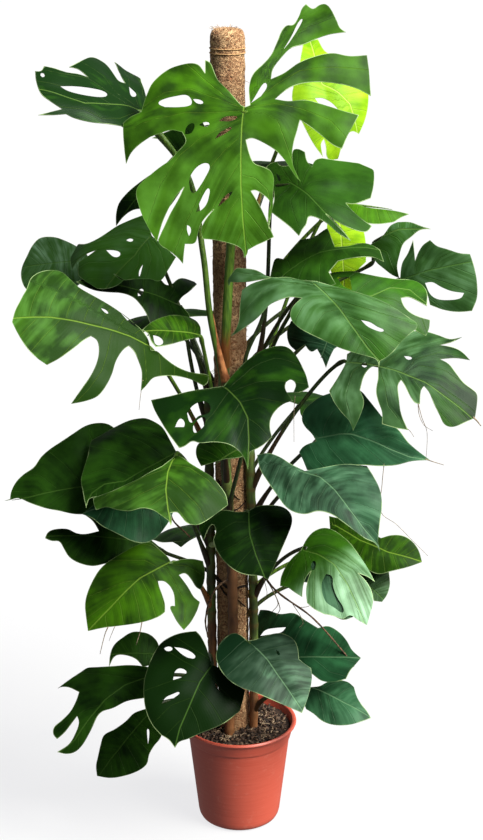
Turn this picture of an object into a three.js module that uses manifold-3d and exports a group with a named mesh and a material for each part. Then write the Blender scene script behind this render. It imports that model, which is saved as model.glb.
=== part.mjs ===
// A swiss cheese plant (Monstera deliciosa) trained up a coir pole in a plastic nursery pot.
// Millimetres, +Z up. The origin is the centre of the pot's underside; -Y is the side that faces the viewer.
import * as THREE from "three";
import { mergeVertices } from "three/addons/utils/BufferGeometryUtils.js";
import Module from "manifold-3d";

const wasm = await Module();
wasm.setup();

// Clearance kept between pieces that touch
const FIT = 0.3;
// Slivers thinner than this, left by a cut, are smoothed away
const SLIVER = 0.06;

// Pot, measured across its rolled lip
const POT_LIP_R = 110;
const POT_TOP_R = 97;
const POT_BASE_R = 76;
const POT_HEIGHT = 205;
const POT_WALL = 2.2;
const POT_COLLAR = 30;
const COLLAR_STEP = 3;
const LIP_DEPTH = 8;
const POT_BASE_EDGE = 16;
const POT_SIDES = 32;
const DRAIN_HOLE_R = 6;
const DRAIN_RING_R = 52;
const DRAIN_HOLES = 8;
const DRAIN_SIDES = 8;
const SOIL_TOP = 186;
const SOIL_HEAP = 6;

// Coir pole: a wooden stake in a sleeve of coconut fibre
const POLE_R = 30;
const POLE_TOP = 1505;
const POLE_FOOT = 12;
const POLE_SIDES = 20;
const POLE_LEAN = 0.007; // mm to -X for each mm of height
const POLE_X = -9;
const STAKE_R = 14;
const STAKE_TOP = 1480;
const STAKE_SIDES = 8;
const CORD_R = 1.6;
const CORD_SIDES = 4;
const CORD_HEIGHTS = [1472, 1464];

// Aerial roots
const ROOT_R = 2.4;
const ROOT_SIDES = 5;
const ROOT_STEPS = 8;

// Stems
const STEM_SIDES = 8;
const STEM_STEP = 95;
const STEM_STANDOFF = 1.2;
const STEM_SWING = 9; // degrees round the pole to either side
const STEM_WAVE = 130; // mm of height for each radian of that swing
const STEM_TIP = 0.75; // the topmost radius as a share of the rest

// Petiole
const PETIOLE_R = 4.2;
const SHEATH_R = 7.5;
const PETIOLE_SIDES = 6;
const PETIOLE_STEPS = 6;
const PETIOLE_SINK = 2.5; // how far below the blade's upper face it ends
const HANDLE = 0.16; // how far its ends run straight, as a share of its reach

// Blade
const BLADE_THICKNESS = 1;
const RIB_DEPTH = 4;
const RIB_TAPER = 0.8;
const BACK_BEND = 0.5; // how much less the blade arches behind the petiole
const WAVE = 3;
const MIDRIB_STEPS = 6;
const VEIN_BOW = 0.04; // how far a vein bows back from straight, as a share of the blade's length
const VEIN_SWEEP = 1.2; // mm that a vein runs towards the tip for each mm it runs out
const LAST_VEIN = 0.9; // share of the midrib where the last vein leaves
const SMALLEST_BULGE = 25; // a shorter stretch of margin stays straight

const vec = (p) => new THREE.Vector3(...p);
const radians = (degrees) => (degrees * Math.PI) / 180;

// A closed geometry as a solid
function solidOf(geometry) {
  const bare = new THREE.BufferGeometry();
  bare.setAttribute("position", geometry.getAttribute("position"));
  if (geometry.index) bare.setIndex(geometry.index);
  const merged = mergeVertices(bare, 1e-4);
  return new wasm.Manifold(
    new wasm.Mesh({
      numProp: 3,
      vertProperties: new Float32Array(merged.attributes.position.array),
      triVerts: new Uint32Array(merged.index.array),
    }),
  );
}

// A solid back as a geometry
function geometryOf(solid) {
  const mesh = solid.getMesh();
  const geometry = new THREE.BufferGeometry();
  geometry.setAttribute("position", new THREE.BufferAttribute(new Float32Array(mesh.vertProperties), 3));
  geometry.setIndex(new THREE.BufferAttribute(new Uint32Array(mesh.triVerts), 1));
  geometry.computeVertexNormals();
  return geometry;
}

// The largest connected body, for a piece that a cut has left with loose scraps and slivers
function mainBody(solid) {
  const bodies = solid.decompose();
  bodies.sort((a, b) => b.volume() - a.volume());
  return bodies[0].simplify(SLIVER);
}

// A round body about +Z from [radius, height] pairs that start and end on the axis
function turned(profile, sides) {
  const points = profile.map(([r, z]) => new THREE.Vector2(r, z));
  return solidOf(new THREE.LatheGeometry(points, sides).rotateX(Math.PI / 2));
}

// A closed tube through centre points with a radius at each
function tube(points, radii, sides) {
  const position = [];
  const index = [];
  const count = points.length;
  let across = null;
  points.forEach((p, i) => {
    const ahead = points[Math.min(i + 1, count - 1)].clone();
    ahead.sub(points[Math.max(i - 1, 0)]).normalize();
    if (!across) across = new THREE.Vector3(ahead.y, -ahead.x, 0.01).normalize();
    across.addScaledVector(ahead, -across.dot(ahead)).normalize();
    const third = ahead.clone().cross(across);
    for (let k = 0; k < sides; k++) {
      const turn = (2 * Math.PI * k) / sides;
      const q = p.clone();
      q.addScaledVector(across, radii[i] * Math.cos(turn));
      q.addScaledVector(third, radii[i] * Math.sin(turn));
      position.push(q.x, q.y, q.z);
    }
  });
  for (let i = 0; i + 1 < count; i++) {
    for (let k = 0; k < sides; k++) {
      const a = i * sides + k;
      const b = i * sides + ((k + 1) % sides);
      index.push(a, b, b + sides, a, b + sides, a + sides);
    }
  }
  const last = (count - 1) * sides;
  for (let k = 1; k + 1 < sides; k++) {
    index.push(0, k + 1, k, last, last + k, last + k + 1);
  }
  const geometry = new THREE.BufferGeometry();
  geometry.setAttribute("position", new THREE.Float32BufferAttribute(position, 3));
  geometry.setIndex(index);
  return solidOf(geometry);
}

// Pot: one thin moulded shell with a rolled lip, a collar, a rounded foot and drain holes
function makePot() {
  const collarZ = POT_HEIGHT - POT_COLLAR;
  const lipZ = POT_HEIGHT - LIP_DEPTH;
  const outer = [
    [0, 0],
    [POT_BASE_R - POT_BASE_EDGE, 0],
    [POT_BASE_R - POT_BASE_EDGE / 3, POT_BASE_EDGE / 4],
    [POT_BASE_R, POT_BASE_EDGE],
    [POT_TOP_R - COLLAR_STEP, collarZ],
    [POT_TOP_R, collarZ + 1],
    [POT_TOP_R + 2, lipZ - 1],
    [POT_LIP_R - 2, lipZ],
    [POT_LIP_R, lipZ + 3],
    [POT_LIP_R - 2, POT_HEIGHT],
    [POT_TOP_R + 2 - POT_WALL, POT_HEIGHT - 1],
  ];
  const inner = [
    [POT_TOP_R - POT_WALL, collarZ + 1],
    [POT_TOP_R - COLLAR_STEP - POT_WALL, collarZ - 1],
    [POT_BASE_R - POT_WALL, POT_BASE_EDGE],
    [POT_BASE_R - POT_BASE_EDGE, POT_WALL],
    [0, POT_WALL],
  ];
  let pot = turned([...outer, ...inner], POT_SIDES);
  for (let k = 0; k < DRAIN_HOLES; k++) {
    const turn = (2 * Math.PI * (k + 0.5)) / DRAIN_HOLES;
    const hole = new THREE.CylinderGeometry(DRAIN_HOLE_R, DRAIN_HOLE_R, 4 * POT_WALL, DRAIN_SIDES);
    hole.rotateX(Math.PI / 2);
    hole.translate(DRAIN_RING_R * Math.cos(turn), DRAIN_RING_R * Math.sin(turn), 0);
    pot = pot.subtract(solidOf(hole));
  }
  return pot;
}

// Soil: fills the pot to just under the lip, a little heaped round the pole, with holes for pole and stems
function makeSoil() {
  const gap = (POT_WALL + FIT) / Math.cos(Math.PI / POT_SIDES) + 0.5;
  const collarZ = POT_HEIGHT - POT_COLLAR;
  const profile = [
    [0, POT_WALL + FIT],
    [POT_BASE_R - POT_BASE_EDGE - 1, POT_WALL + FIT],
    [POT_BASE_R - gap, POT_BASE_EDGE],
    [POT_TOP_R - COLLAR_STEP - gap, collarZ - 1],
    [POT_TOP_R - gap, collarZ + 2],
    [POT_TOP_R - gap, SOIL_TOP - 4],
    [POT_TOP_R * 0.6, SOIL_TOP + 1],
    [0, SOIL_TOP + SOIL_HEAP],
  ];
  let soil = turned(profile, POT_SIDES);
  soil = soil.subtract(poleBar(POLE_R + 2 * FIT, POLE_FOOT - FIT, 2 * SOIL_TOP, POLE_SIDES));
  for (const stem of Object.values(STEMS)) soil = soil.subtract(stemTube(stem, FIT));
  return mainBody(soil);
}

// The pole leans a little to the viewer's left
function poleX(z) {
  return POLE_X - POLE_LEAN * z;
}

// A round bar along the pole's axis between two heights
function poleBar(radius, z0, z1, sides) {
  const ends = [z0, z1].map((z) => new THREE.Vector3(poleX(z), 0, z));
  return tube(ends, [radius, radius], sides);
}

// Coir: a sleeve, closed and rounded off above the stake
function makeCoir() {
  const heights = [POLE_FOOT, POLE_TOP - 14, POLE_TOP - 4, POLE_TOP];
  const radii = [POLE_R, POLE_R, POLE_R - 3, POLE_R - 9];
  const centres = heights.map((z) => new THREE.Vector3(poleX(z), 0, z));
  const bore = poleBar(STAKE_R + FIT, POLE_FOOT - 1, STAKE_TOP + FIT, STAKE_SIDES);
  return tube(centres, radii, POLE_SIDES).subtract(bore);
}

// Cord: one turn round the coir
function makeCord(z) {
  const ring = new THREE.TorusGeometry(POLE_R + FIT + CORD_R, CORD_R, CORD_SIDES, POLE_SIDES);
  ring.rotateY(-POLE_LEAN);
  ring.translate(poleX(z), 0, z);
  return solidOf(ring);
}

// Stems: each climbs the pole at its own bearing, from in the soil to just above its last leaf
const STEMS = {
  stem_front: { bearing: 262, foot: 60, top: 960, radius: 10 },
  stem_right: { bearing: 338, foot: 60, top: 900, radius: 9 },
  stem_left: { bearing: 188, foot: 60, top: 875, radius: 9 },
  stem_back: { bearing: 90, foot: 60, top: 1050, radius: 9 },
};

// The centre of a stem at a height; it swings a little from side to side as it climbs
function stemPoint(stem, z) {
  const bearing = radians(stem.bearing + STEM_SWING * Math.sin(z / STEM_WAVE + stem.bearing));
  const reach = POLE_R + STEM_STANDOFF + stem.radius;
  return new THREE.Vector3(poleX(z) + reach * Math.cos(bearing), reach * Math.sin(bearing), z);
}

// A stem, or with a swell the hole it stands in
function stemTube(stem, swell) {
  const points = [];
  const radii = [];
  const steps = Math.round((stem.top - stem.foot) / STEM_STEP);
  const radius = stem.radius + swell / Math.cos(Math.PI / STEM_SIDES);
  for (let i = 0; i <= steps; i++) {
    const z = stem.foot - swell + ((stem.top - stem.foot + 2 * swell) * i) / steps;
    points.push(stemPoint(stem, z));
    radii.push(radius * (i === steps ? STEM_TIP : 1));
  }
  return tube(points, radii, STEM_SIDES);
}

// Aerial roots: each leaves a stem at a height and hangs or reaches through the points given
const ROOTS = {
  root_right: { stem: "stem_right", node: 560, through: [[60, -60, 530], [135, -95, 488], [200, -115, 413]] },
  root_left: { stem: "stem_left", node: 690, through: [[-95, -20, 680], [-125, -30, 640], [-90, -35, 595]] },
  root_front: { stem: "stem_front", node: 520, through: [[-45, -62, 500], [-62, -55, 440], [-58, -50, 400]] },
};

function makeRoot(root) {
  const stem = STEMS[root.stem];
  const knots = [stemPoint(stem, root.node), ...root.through.map(vec)];
  const path = new THREE.CatmullRomCurve3(knots, false, "centripetal").getPoints(ROOT_STEPS);
  const radii = path.map((_, i) => ROOT_R * (1 - (0.4 * i) / ROOT_STEPS));
  return mainBody(tube(path, radii, ROOT_SIDES).subtract(stemTube(stem, FIT)));
}

// Cuts between neighbouring lobes, by the letter that stands between two points of a margin: c a cut,
// d a deep one, w a wide one, s a shallow one, o a hole that closes again before the margin.
// Levels are shares of the way from the midrib to the margin, open how far the two sides have parted
// there, widen how much further they stand apart, in mm.
const CUTS = {
  c: { levels: [0, 0.28, 0.38, 0.68, 1], open: [0, 0, 0.55, 0.85, 1], widen: [0, 0, 3, 4, 0] },
  d: { levels: [0, 0.12, 0.22, 0.6, 1], open: [0, 0, 0.4, 0.85, 1], widen: [0, 0, 3, 4, 0] },
  w: { levels: [0, 0.2, 0.36, 0.66, 1], open: [0, 0, 0.5, 0.8, 1], widen: [0, 0, 9, 6, 0] },
  s: { levels: [0, 0.55, 0.64, 0.82, 1], open: [0, 0, 0.6, 0.9, 1], widen: [0, 0, 3, 3, 0] },
  o: { levels: [0, 0.28, 0.42, 0.6, 0.74, 1], open: [0, 0, 0, 0, 0, 0], widen: [0, 0, 6, 5, 0, 0] },
  whole: { levels: [0, 0.5, 1], open: [0, 0, 0], widen: [0, 0, 0] },
};

// A repeatable draw from 0 to 1
function draw(seed) {
  const x = Math.sin(seed * 127.1 + 311.7) * 43758.5453;
  return x - Math.floor(x);
}

// A leaf's own axes: along the chord from petiole to tip, across, and out of its upper face
function leafAxes(leaf) {
  const along = vec(leaf.tip).sub(vec(leaf.at));
  const chord = along.length();
  along.normalize();
  const out = vec(leaf.face);
  out.addScaledVector(along, -out.dot(along)).normalize();
  const across = out.clone().cross(along);
  return { along, across, out, chord };
}

// Where a point of the flat blade goes once the blade is arched along and across
function bentPoint(leaf, axes, x, y, side, lift) {
  const bend = radians(leaf.droop);
  const rate = (x < 0 ? BACK_BEND : 1) * (bend / leaf.length);
  const angle = bend / 2 - rate * x;
  const forward = (Math.sin(bend / 2) - Math.sin(angle)) / rate;
  const up = (Math.cos(angle) - Math.cos(bend / 2)) / rate;
  const fold = radians(leaf.fold);
  const curl = radians(leaf.curl) / leaf.half;
  const tilt = fold - curl * y;
  const out = (Math.sin(fold) - Math.sin(tilt)) / curl;
  const rise = (Math.cos(tilt) - Math.cos(fold)) / curl + lift;
  const p = vec(leaf.at);
  p.addScaledVector(axes.along, forward - Math.sin(angle) * rise);
  p.addScaledVector(axes.out, up + Math.cos(angle) * rise);
  p.addScaledVector(axes.across, side * out);
  return p;
}

// The boundaries between the lobes of one half, each with the margin's point on either side of it
function boundariesOf(margin, tip) {
  const boundaries = [];
  for (let i = 0; i < margin.length; i++) {
    const letter = margin[i + 1];
    if (typeof letter === "string") {
      boundaries.push({ before: margin[i], after: margin[i + 2], cut: CUTS[letter] });
      i += typeof margin[i + 3] === "string" ? 1 : 2;
    } else {
      boundaries.push({ before: margin[i], after: margin[i], cut: CUTS.whole });
    }
  }
  boundaries.push({ before: tip, after: tip, cut: CUTS.whole });
  // Every boundary starts at a point of the midrib, none behind the one before it
  let share = 0;
  for (const boundary of boundaries) {
    const [x, y] = [0, 1].map((n) => (boundary.before[n] + boundary.after[n]) / 2);
    share = Math.max(share, Math.min((x - VEIN_SWEEP * y) / tip[0], LAST_VEIN));
    boundary.step = boundary.before === tip ? MIDRIB_STEPS : Math.round(share * MIDRIB_STEPS);
  }
  return boundaries;
}

// Blade: a thin arched sheet of lobes with a rib below its midline, closed all round
function bladeSolid(leaf, axes) {
  const points = [];
  const ribs = [];
  const faces = [];
  const tip = [leaf.length, 0];
  function add(x, y, side, hang, rib) {
    const outness = (y / leaf.half) ** 2;
    const ripple = WAVE * Math.sin(x / 23 + y / 31 + side) * outness;
    points.push(bentPoint(leaf, axes, x, y, side, ripple - hang * outness * leaf.half));
    ribs.push(rib);
    return points.length - 1;
  }
  const midrib = [];
  for (let k = 0; k <= MIDRIB_STEPS; k++) {
    const share = k / MIDRIB_STEPS;
    midrib.push(add(share * leaf.length, 0, 1, 0, RIB_DEPTH * (1 - RIB_TAPER * share)));
  }

  for (const side of [1, -1]) {
    const boundaries = boundariesOf(side > 0 ? leaf.left : leaf.right, tip);
    const hangs = boundaries.map((_, k) => leaf.drop * draw(leaf.seed * 31 + k * 7 + side));
    // The points already made, by the margin point or the boundary they belong to and their level
    const made = new Map();
    // One side of a boundary, from the midrib to the margin
    function column(k, isAfter) {
      const { before, after, cut, step } = boundaries[k];
      if (before === tip) return [midrib[step]];
      const own = isAfter ? after : before;
      const start = (step / MIDRIB_STEPS) * leaf.length;
      const reach = Math.hypot(own[0] - start, own[1]);
      const apart = before === after ? 0 : isAfter ? 1 : -1;
      return cut.levels.map((s, i) => {
        if (s === 0) return midrib[step];
        const parted = cut.open[i] > 0 || cut.widen[i] > 0;
        const isCorner = s === 1 && (parted || before === after);
        const key = isCorner ? own : boundaries[k];
        const known = made.get(key)?.[isCorner ? "corner" : i];
        if (known !== undefined && (!parted || s === 1)) return known;
        const [tx, ty] = [0, 1].map((n) => {
          const shared = (before[n] + after[n]) / 2;
          return shared + (own[n] - shared) * cut.open[i];
        });
        const bow = VEIN_BOW * leaf.length * Math.sin(Math.PI * s) * (own[0] > 0 ? 1 : 0);
        const x = start + (tx - start) * s - bow + (apart * cut.widen[i] * own[1]) / reach;
        const y = ty * s - (apart * cut.widen[i] * (own[0] - start)) / reach;
        const id = add(x, Math.max(y, 1), side, hangs[isAfter ? k + 1 : k], 0);
        if (!parted || s === 1) made.set(key, { ...made.get(key), [isCorner ? "corner" : i]: id });
        return id;
      });
    }
    for (let k = 0; k + 1 < boundaries.length; k++) {
      const near = column(k, true);
      const far = column(k + 1, false);
      const [n, m] = [boundaries[k].after, boundaries[k + 1].before];
      const outer = [near.at(-1), far.at(-1)];
      // A long stretch of margin bulges: its middle lies on a curve through the points about it
      if (Math.hypot(n[0] - m[0], n[1] - m[1]) > SMALLEST_BULGE && m !== tip) {
        const p = boundaries[k].before === n && k > 0 ? boundaries[k - 1].after : n;
        const q = boundaries[k + 1].after === m && k + 2 < boundaries.length ? boundaries[k + 2].before : m;
        const [x, y] = [0, 1].map((c) => (9 * (n[c] + m[c]) - p[c] - q[c]) / 16);
        outer.splice(1, 0, add(x, y, side, hangs[k + 1], 0));
      }
      const base = midrib.slice(boundaries[k].step, boundaries[k + 1].step);
      zip(near, [...base, ...far], outer, side, points, faces);
    }
  }
  return closedSheet(points, ribs, faces);
}

// Joins two columns of points by triangles, the shorter diagonal first, and ends on the lobe's outer edge
function zip(near, far, outer, side, points, faces) {
  const face = (a, b, c) => {
    if (a === b || b === c || a === c) return;
    faces.push(side > 0 ? [a, b, c] : [a, c, b]);
  };
  let i = 0;
  let j = 0;
  while (i + 1 < near.length || j + 1 < far.length) {
    const nearStep = i + 1 < near.length ? points[near[i + 1]].distanceTo(points[far[j]]) : Infinity;
    const farStep = j + 1 < far.length ? points[far[j + 1]].distanceTo(points[near[i]]) : Infinity;
    if (nearStep <= farStep) {
      face(near[i], far[j], near[i + 1]);
      i++;
    } else {
      face(near[i], far[j], far[j + 1]);
      j++;
    }
  }
  if (outer.length === 3) face(outer[0], outer[2], outer[1]);
}

// Gives a sheet its thickness: the same triangles on both faces, and a wall round every open edge
function closedSheet(points, ribs, faces) {
  const normals = points.map(() => new THREE.Vector3());
  for (const [a, b, c] of faces) {
    const n = points[b].clone().sub(points[a]).cross(points[c].clone().sub(points[a]));
    for (const k of [a, b, c]) normals[k].add(n);
  }
  const position = [];
  points.forEach((p, k) => {
    const q = p.clone().addScaledVector(normals[k].normalize(), BLADE_THICKNESS / 2);
    position.push(q.x, q.y, q.z);
  });
  points.forEach((p, k) => {
    const q = p.clone().addScaledVector(normals[k], -BLADE_THICKNESS / 2 - ribs[k]);
    position.push(q.x, q.y, q.z);
  });
  const count = points.length;
  const index = [];
  const open = new Map();
  for (const [a, b, c] of faces) {
    index.push(a, b, c, count + a, count + c, count + b);
    for (const [u, v] of [[a, b], [b, c], [c, a]]) {
      if (open.has(`${v}:${u}`)) open.delete(`${v}:${u}`);
      else open.set(`${u}:${v}`, [u, v]);
    }
  }
  for (const [u, v] of open.values()) index.push(v, u, count + u, v, count + u, count + v);
  const geometry = new THREE.BufferGeometry();
  geometry.setAttribute("position", new THREE.Float32BufferAttribute(position, 3));
  geometry.setIndex(index);
  return solidOf(geometry);
}

// Petiole: from the stem's middle, up beside it, then out in one sweep to the underside of the blade,
// or through the leaf's own via points
function petiolePath(leaf, axes) {
  const foot = stemPoint(STEMS[leaf.stem], leaf.node);
  const end = vec(leaf.at).addScaledVector(axes.out, -PETIOLE_SINK);
  const reach = end.distanceTo(foot);
  const arrive = end.clone();
  arrive.addScaledVector(axes.out, -reach * HANDLE).addScaledVector(axes.along, -reach * leaf.under);
  if (leaf.via) {
    const knots = [foot, ...leaf.via.map(vec), end];
    return new THREE.CatmullRomCurve3(knots, false, "centripetal").getPoints(PETIOLE_STEPS + 2);
  }
  const outward = new THREE.Vector3(foot.x - poleX(foot.z), foot.y, 0).normalize();
  outward.add(new THREE.Vector3(end.x - foot.x, end.y - foot.y, 0).normalize()).normalize();
  const start = foot.clone().addScaledVector(outward, reach * HANDLE);
  start.z += reach * leaf.rise;
  return new THREE.CubicBezierCurve3(foot, start, arrive, end).getPoints(PETIOLE_STEPS);
}

// A leaf: blade and petiole in one piece, cut back to stand just clear of its stem
function makeLeaf(leaf) {
  const axes = leafAxes(leaf);
  const bend = radians(leaf.droop);
  leaf.length = (axes.chord * (bend / 2)) / Math.sin(bend / 2);
  const path = petiolePath(leaf, axes);
  const radii = path.map((_, i) => {
    const t = i / (path.length - 1);
    const sheath = Math.max(0, SHEATH_R - PETIOLE_R) * Math.max(0, 1 - 4 * t);
    return PETIOLE_R * leaf.stout * (1.05 - 0.15 * t) + sheath;
  });
  const whole = bladeSolid(leaf, axes).add(tube(path, radii, PETIOLE_SIDES));
  return mainBody(whole.subtract(stemTube(STEMS[leaf.stem], FIT)));
}

// How a leaf is unless its row says otherwise
const USUAL = {
  face: [0, -0.8, 0.6],
  droop: 40,
  fold: 5,
  curl: 25,
  drop: 0.06,
  stout: 1,
  rise: 0.4,
  under: 0.1,
};

// Leaves. at: where the petiole meets the blade. tip: the end of the midrib. face: roughly where the
// upper side looks. droop, fold and curl: degrees of arch along the midrib, of upward fold at it and of
// arch across a half. half: width of the wider half, in mm. stem and node: which stem the petiole
// leaves and how high up. left and right: the margin of each half from the petiole to the tip, as mm
// towards the tip and mm out from the midrib, with the letter of a cut between two lobes.
const LEAVES = [
  {
    name: "top_front", tone: "leaf_bright", at: [10, -115, 1385], tip: [10, -190, 1165],
    face: [0, -0.95, 0.3], droop: 30, fold: 3, curl: 14, half: 215, stem: "stem_front", node: 925, stout: 1.6,
    via: [[-23, -58, 985], [-16, -48, 1110], [-6, -90, 1270]],
    left: [[-40, 20], [-150, 60], [-200, 100], [-210, 140], [-160, 160], "c", [-110, 200], [-30, 210], "c",
      [0, 190], [60, 160], "s", [30, 90], [120, 90], "d", [110, 40], [190, 40]],
    right: [[-40, 40], [-80, 90], [-60, 150], [-10, 160], "o", [20, 200], [90, 190], "c",
      [130, 180], [210, 140], "w", [220, 140], [260, 100], "w", [220, 100], [220, 60]],
  },
  {
    name: "upper_left", tone: "leaf_green", at: [-165, -30, 1370], tip: [-330, -110, 1420],
    face: [-0.2, -0.6, 0.8], fold: 6, curl: 20, half: 120, stem: "stem_front", node: 830, stout: 1.5,
    via: [[-26, -66, 890], [-50, -62, 1020], [-62, -50, 1130], [-88, -25, 1260]],
    left: [[-10, 20], [40, 60], [100, 80], "s", [110, 70], [160, 60], [190, 30]],
    right: [[-30, 50], [-30, 120], [0, 190], "c", [60, 100], [130, 60], "c", [150, 30], [180, 50]],
  },
  {
    name: "new_lime", tone: "leaf_new", at: [145, 90, 1405], tip: [165, 60, 1275],
    face: [0.3, -0.9, 0.3], droop: 50, fold: 14, curl: 40, half: 80, stem: "stem_back", node: 1035,
    left: [[-90, 20], [-50, 30], "s", [-20, 50], [10, 100], [60, 90], [100, 50], "c", [110, 20]],
    right: [[-50, 20], [0, 60], [40, 60], "c", [80, 50], [130, 30], "c", [120, 10]],
  },
  {
    name: "right_high", tone: "leaf_dark", at: [65, -60, 1250], tip: [185, -140, 1170],
    face: [0.1, -0.8, 0.6], droop: 35, half: 110, stem: "stem_right", node: 880,
    left: [[-20, 30], [-50, 80], [-20, 90], "c", [20, 90], [50, 130], [90, 160], [140, 90], "c", [150, 80],
      [180, 40]],
    right: [[-40, 10], [0, 30], "c", [30, 50], [60, 30], "c", [70, 50], [110, 40]],
  },
  {
    name: "right_arch", tone: "leaf_dark", at: [60, -75, 1104], tip: [270, -110, 1100],
    face: [0, -0.5, 0.85], droop: 60, half: 80, stem: "stem_front", node: 790,
    via: [[2, -60, 835], [12, -76, 950], [40, -78, 1020]],
    left: [[0, 20], [60, 30], "s", [80, 30], [130, 50], "s", [150, 50], [180, 60], [210, 40]],
    right: [[30, 30], [70, 40], "s", [90, 20], [140, 10], "s", [150, 10], [200, 10]],
  },
  {
    name: "mid_lime", tone: "leaf_new", at: [180, 115, 1172], tip: [193, 105, 1017],
    face: [0.1, -0.95, 0.2], droop: 30, half: 40, stem: "stem_back", node: 640,
    left: [[0, 20], [60, 20], [100, 40], [130, 30]],
    right: [[10, 20], [60, 30], [120, 20]],
  },
  {
    name: "glossy", tone: "leaf_green", at: [110, -190, 1115], tip: [225, -300, 1000],
    face: [-0.1, -0.8, 0.6], half: 110, stem: "stem_right", node: 780,
    via: [[40, -20, 890], [62, -26, 960], [90, -115, 1045]],
    left: [[10, 10], [50, 40], [100, 70], [150, 90], [180, 90], [200, 40]],
    right: [[-40, 10], [-100, 50], [-180, 80], [-120, 100], "s", [-90, 80], [-40, 120], [-40, 150], "d",
      [40, 60], [110, 40], [160, 10]],
  },
  {
    name: "glossy_behind", tone: "leaf_dark", at: [135, -80, 1090], tip: [320, -140, 1010],
    face: [0.1, -0.6, 0.8], half: 100, stem: "stem_back", node: 770,
    left: [[0, 20], [50, 40], [90, 50], [140, 80], [190, 60], "c", [180, 20], [210, 30]],
    right: [[0, 20], [40, 60], "c", [80, 60], [120, 60], "c", [140, 50], [190, 40]],
  },
  {
    name: "far_right", tone: "leaf_dark", at: [295, 10, 1070], tip: [415, -30, 1070],
    face: [0.1, -0.95, 0.3], droop: 25, fold: 3, curl: 15, half: 75, stem: "stem_back", node: 825,
    left: [[-10, 20], [0, 60], "s", [20, 60], [40, 70], [80, 60], [110, 40]],
    right: [[0, 20], [60, 40], "w", [110, 50], [120, 40]],
  },
  {
    name: "far_right_up", tone: "leaf_green", at: [240, 60, 1090], tip: [340, 40, 1155],
    face: [-0.3, -0.85, 0.4], droop: 30, curl: 20, half: 60, stem: "stem_back", node: 870,
    left: [[10, 20], [40, 40], [70, 40], [100, 20]],
    right: [[10, 20], [50, 20], [80, 10]],
  },
  {
    name: "right_hanging", tone: "leaf_green", at: [185, -60, 940], tip: [415, -140, 845],
    face: [0.1, -0.8, 0.6], half: 110, stem: "stem_right", node: 680,
    left: [[0, 20], [30, 50], [60, 70], "c", [90, 120], [160, 140], "c", [140, 110], [190, 100], "c",
      [180, 70], [240, 40]],
    right: [[0, 20], [0, 60], [40, 100], [80, 120], "c", [90, 50], [120, 80], [160, 70], "d", [170, 60],
      [200, 60], "c", [210, 30], [230, 30]],
  },
  {
    name: "heart_right_upper", tone: "leaf_blue", at: [140, -90, 805], tip: [325, -170, 795],
    face: [0, -0.75, 0.65], fold: 8, half: 90, stem: "stem_right", node: 620,
    left: [[-40, 20], [-50, 70], [-20, 110], [50, 110], [120, 60], [170, 20]],
    right: [[-30, 10], [-30, 30], [0, 50], [40, 60], [90, 40], [150, 30]],
  },
  {
    name: "heart_right_mid", tone: "leaf_blue", at: [135, -180, 770], tip: [235, -260, 670],
    face: [0.1, -0.75, 0.65], fold: 8, half: 95, stem: "stem_right", node: 580,
    left: [[0, 10], [20, 40], [40, 70], [80, 60], [120, 40]],
    right: [[-20, 10], [-70, 20], [-110, 40], [-50, 80], [10, 80], [70, 30], [110, 20]],
  },
  {
    name: "heart_right_back", tone: "leaf_bright", at: [195, 30, 550], tip: [340, 0, 530],
    face: [0.1, -0.8, 0.6], droop: 35, fold: 8, half: 55, stem: "stem_back", node: 400,
    left: [[-20, 20], [10, 40], [60, 30], [120, 40]],
    right: [[0, 20], [30, 40], [80, 40], [120, 20]],
  },
  {
    name: "right_low_cut", tone: "leaf_green", at: [120, -120, 610], tip: [220, -220, 510],
    face: [0.1, -0.7, 0.7], droop: 45, curl: 30, half: 90, stem: "stem_right", node: 460,
    left: [[-20, 10], [-20, 40], [0, 70], [60, 70], [120, 60], "s", [120, 50], [150, 30]],
    right: [[-10, 10], [10, 60], [20, 80], "s", [50, 80], [80, 70], "c", [90, 60], [120, 60], "d", [120, 20],
      [160, 10]],
  },
  {
    name: "right_low_dark", tone: "leaf_dark", at: [220, 20, 495], tip: [275, 0, 450],
    face: [0.2, -0.8, 0.5], droop: 30, curl: 20, half: 45, stem: "stem_back", node: 360,
    left: [[-10, 30], [20, 50], [60, 30]],
    right: [[0, 20], [40, 20]],
  },
  {
    name: "heart_pot", tone: "leaf_blue", at: [15, -170, 450], tip: [110, -260, 360],
    face: [0.1, -0.7, 0.7], fold: 8, half: 90, stem: "stem_front", node: 280,
    left: [[0, 10], [10, 40], [40, 70], [80, 60], [120, 50]],
    right: [[-20, 10], [-40, 30], [-20, 60], [40, 70], [100, 50]],
  },
  {
    name: "right_low_long", tone: "leaf_blue", at: [85, -70, 375], tip: [220, -120, 390],
    face: [0.1, -0.8, 0.6], droop: 35, fold: 6, curl: 20, half: 75, stem: "stem_right", node: 270,
    left: [[-40, 20], [-90, 50], [-110, 90], [-50, 100], [40, 70], [100, 50]],
    right: [[0, 20], [30, 50], [80, 60], [120, 30]],
  },
  {
    name: "right_low_pot", tone: "leaf_blue", at: [135, -90, 315], tip: [235, -150, 285],
    face: [0.2, -0.7, 0.7], fold: 6, half: 60, stem: "stem_right", node: 225,
    left: [[-10, 10], [10, 30], [50, 40], [100, 20]],
    right: [[-10, 20], [0, 40], [50, 50], [90, 40]],
  },
  {
    name: "centre", tone: "leaf_green", at: [-25, -150, 915], tip: [10, -260, 810],
    face: [0, -0.8, 0.6], fold: 6, half: 150, stem: "stem_front", node: 700,
    left: [[-30, 20], [-90, 80], [-100, 130], [20, 140], "s", [20, 110], [50, 100], "c", [80, 60],
      [120, 60], "s", [130, 20]],
    right: [[-20, 20], [-20, 120], [50, 120], [100, 100], "c", [100, 70], [110, 20]],
  },
  {
    name: "left_front", tone: "leaf_bright", at: [-105, -200, 820], tip: [-110, -330, 740],
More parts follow.
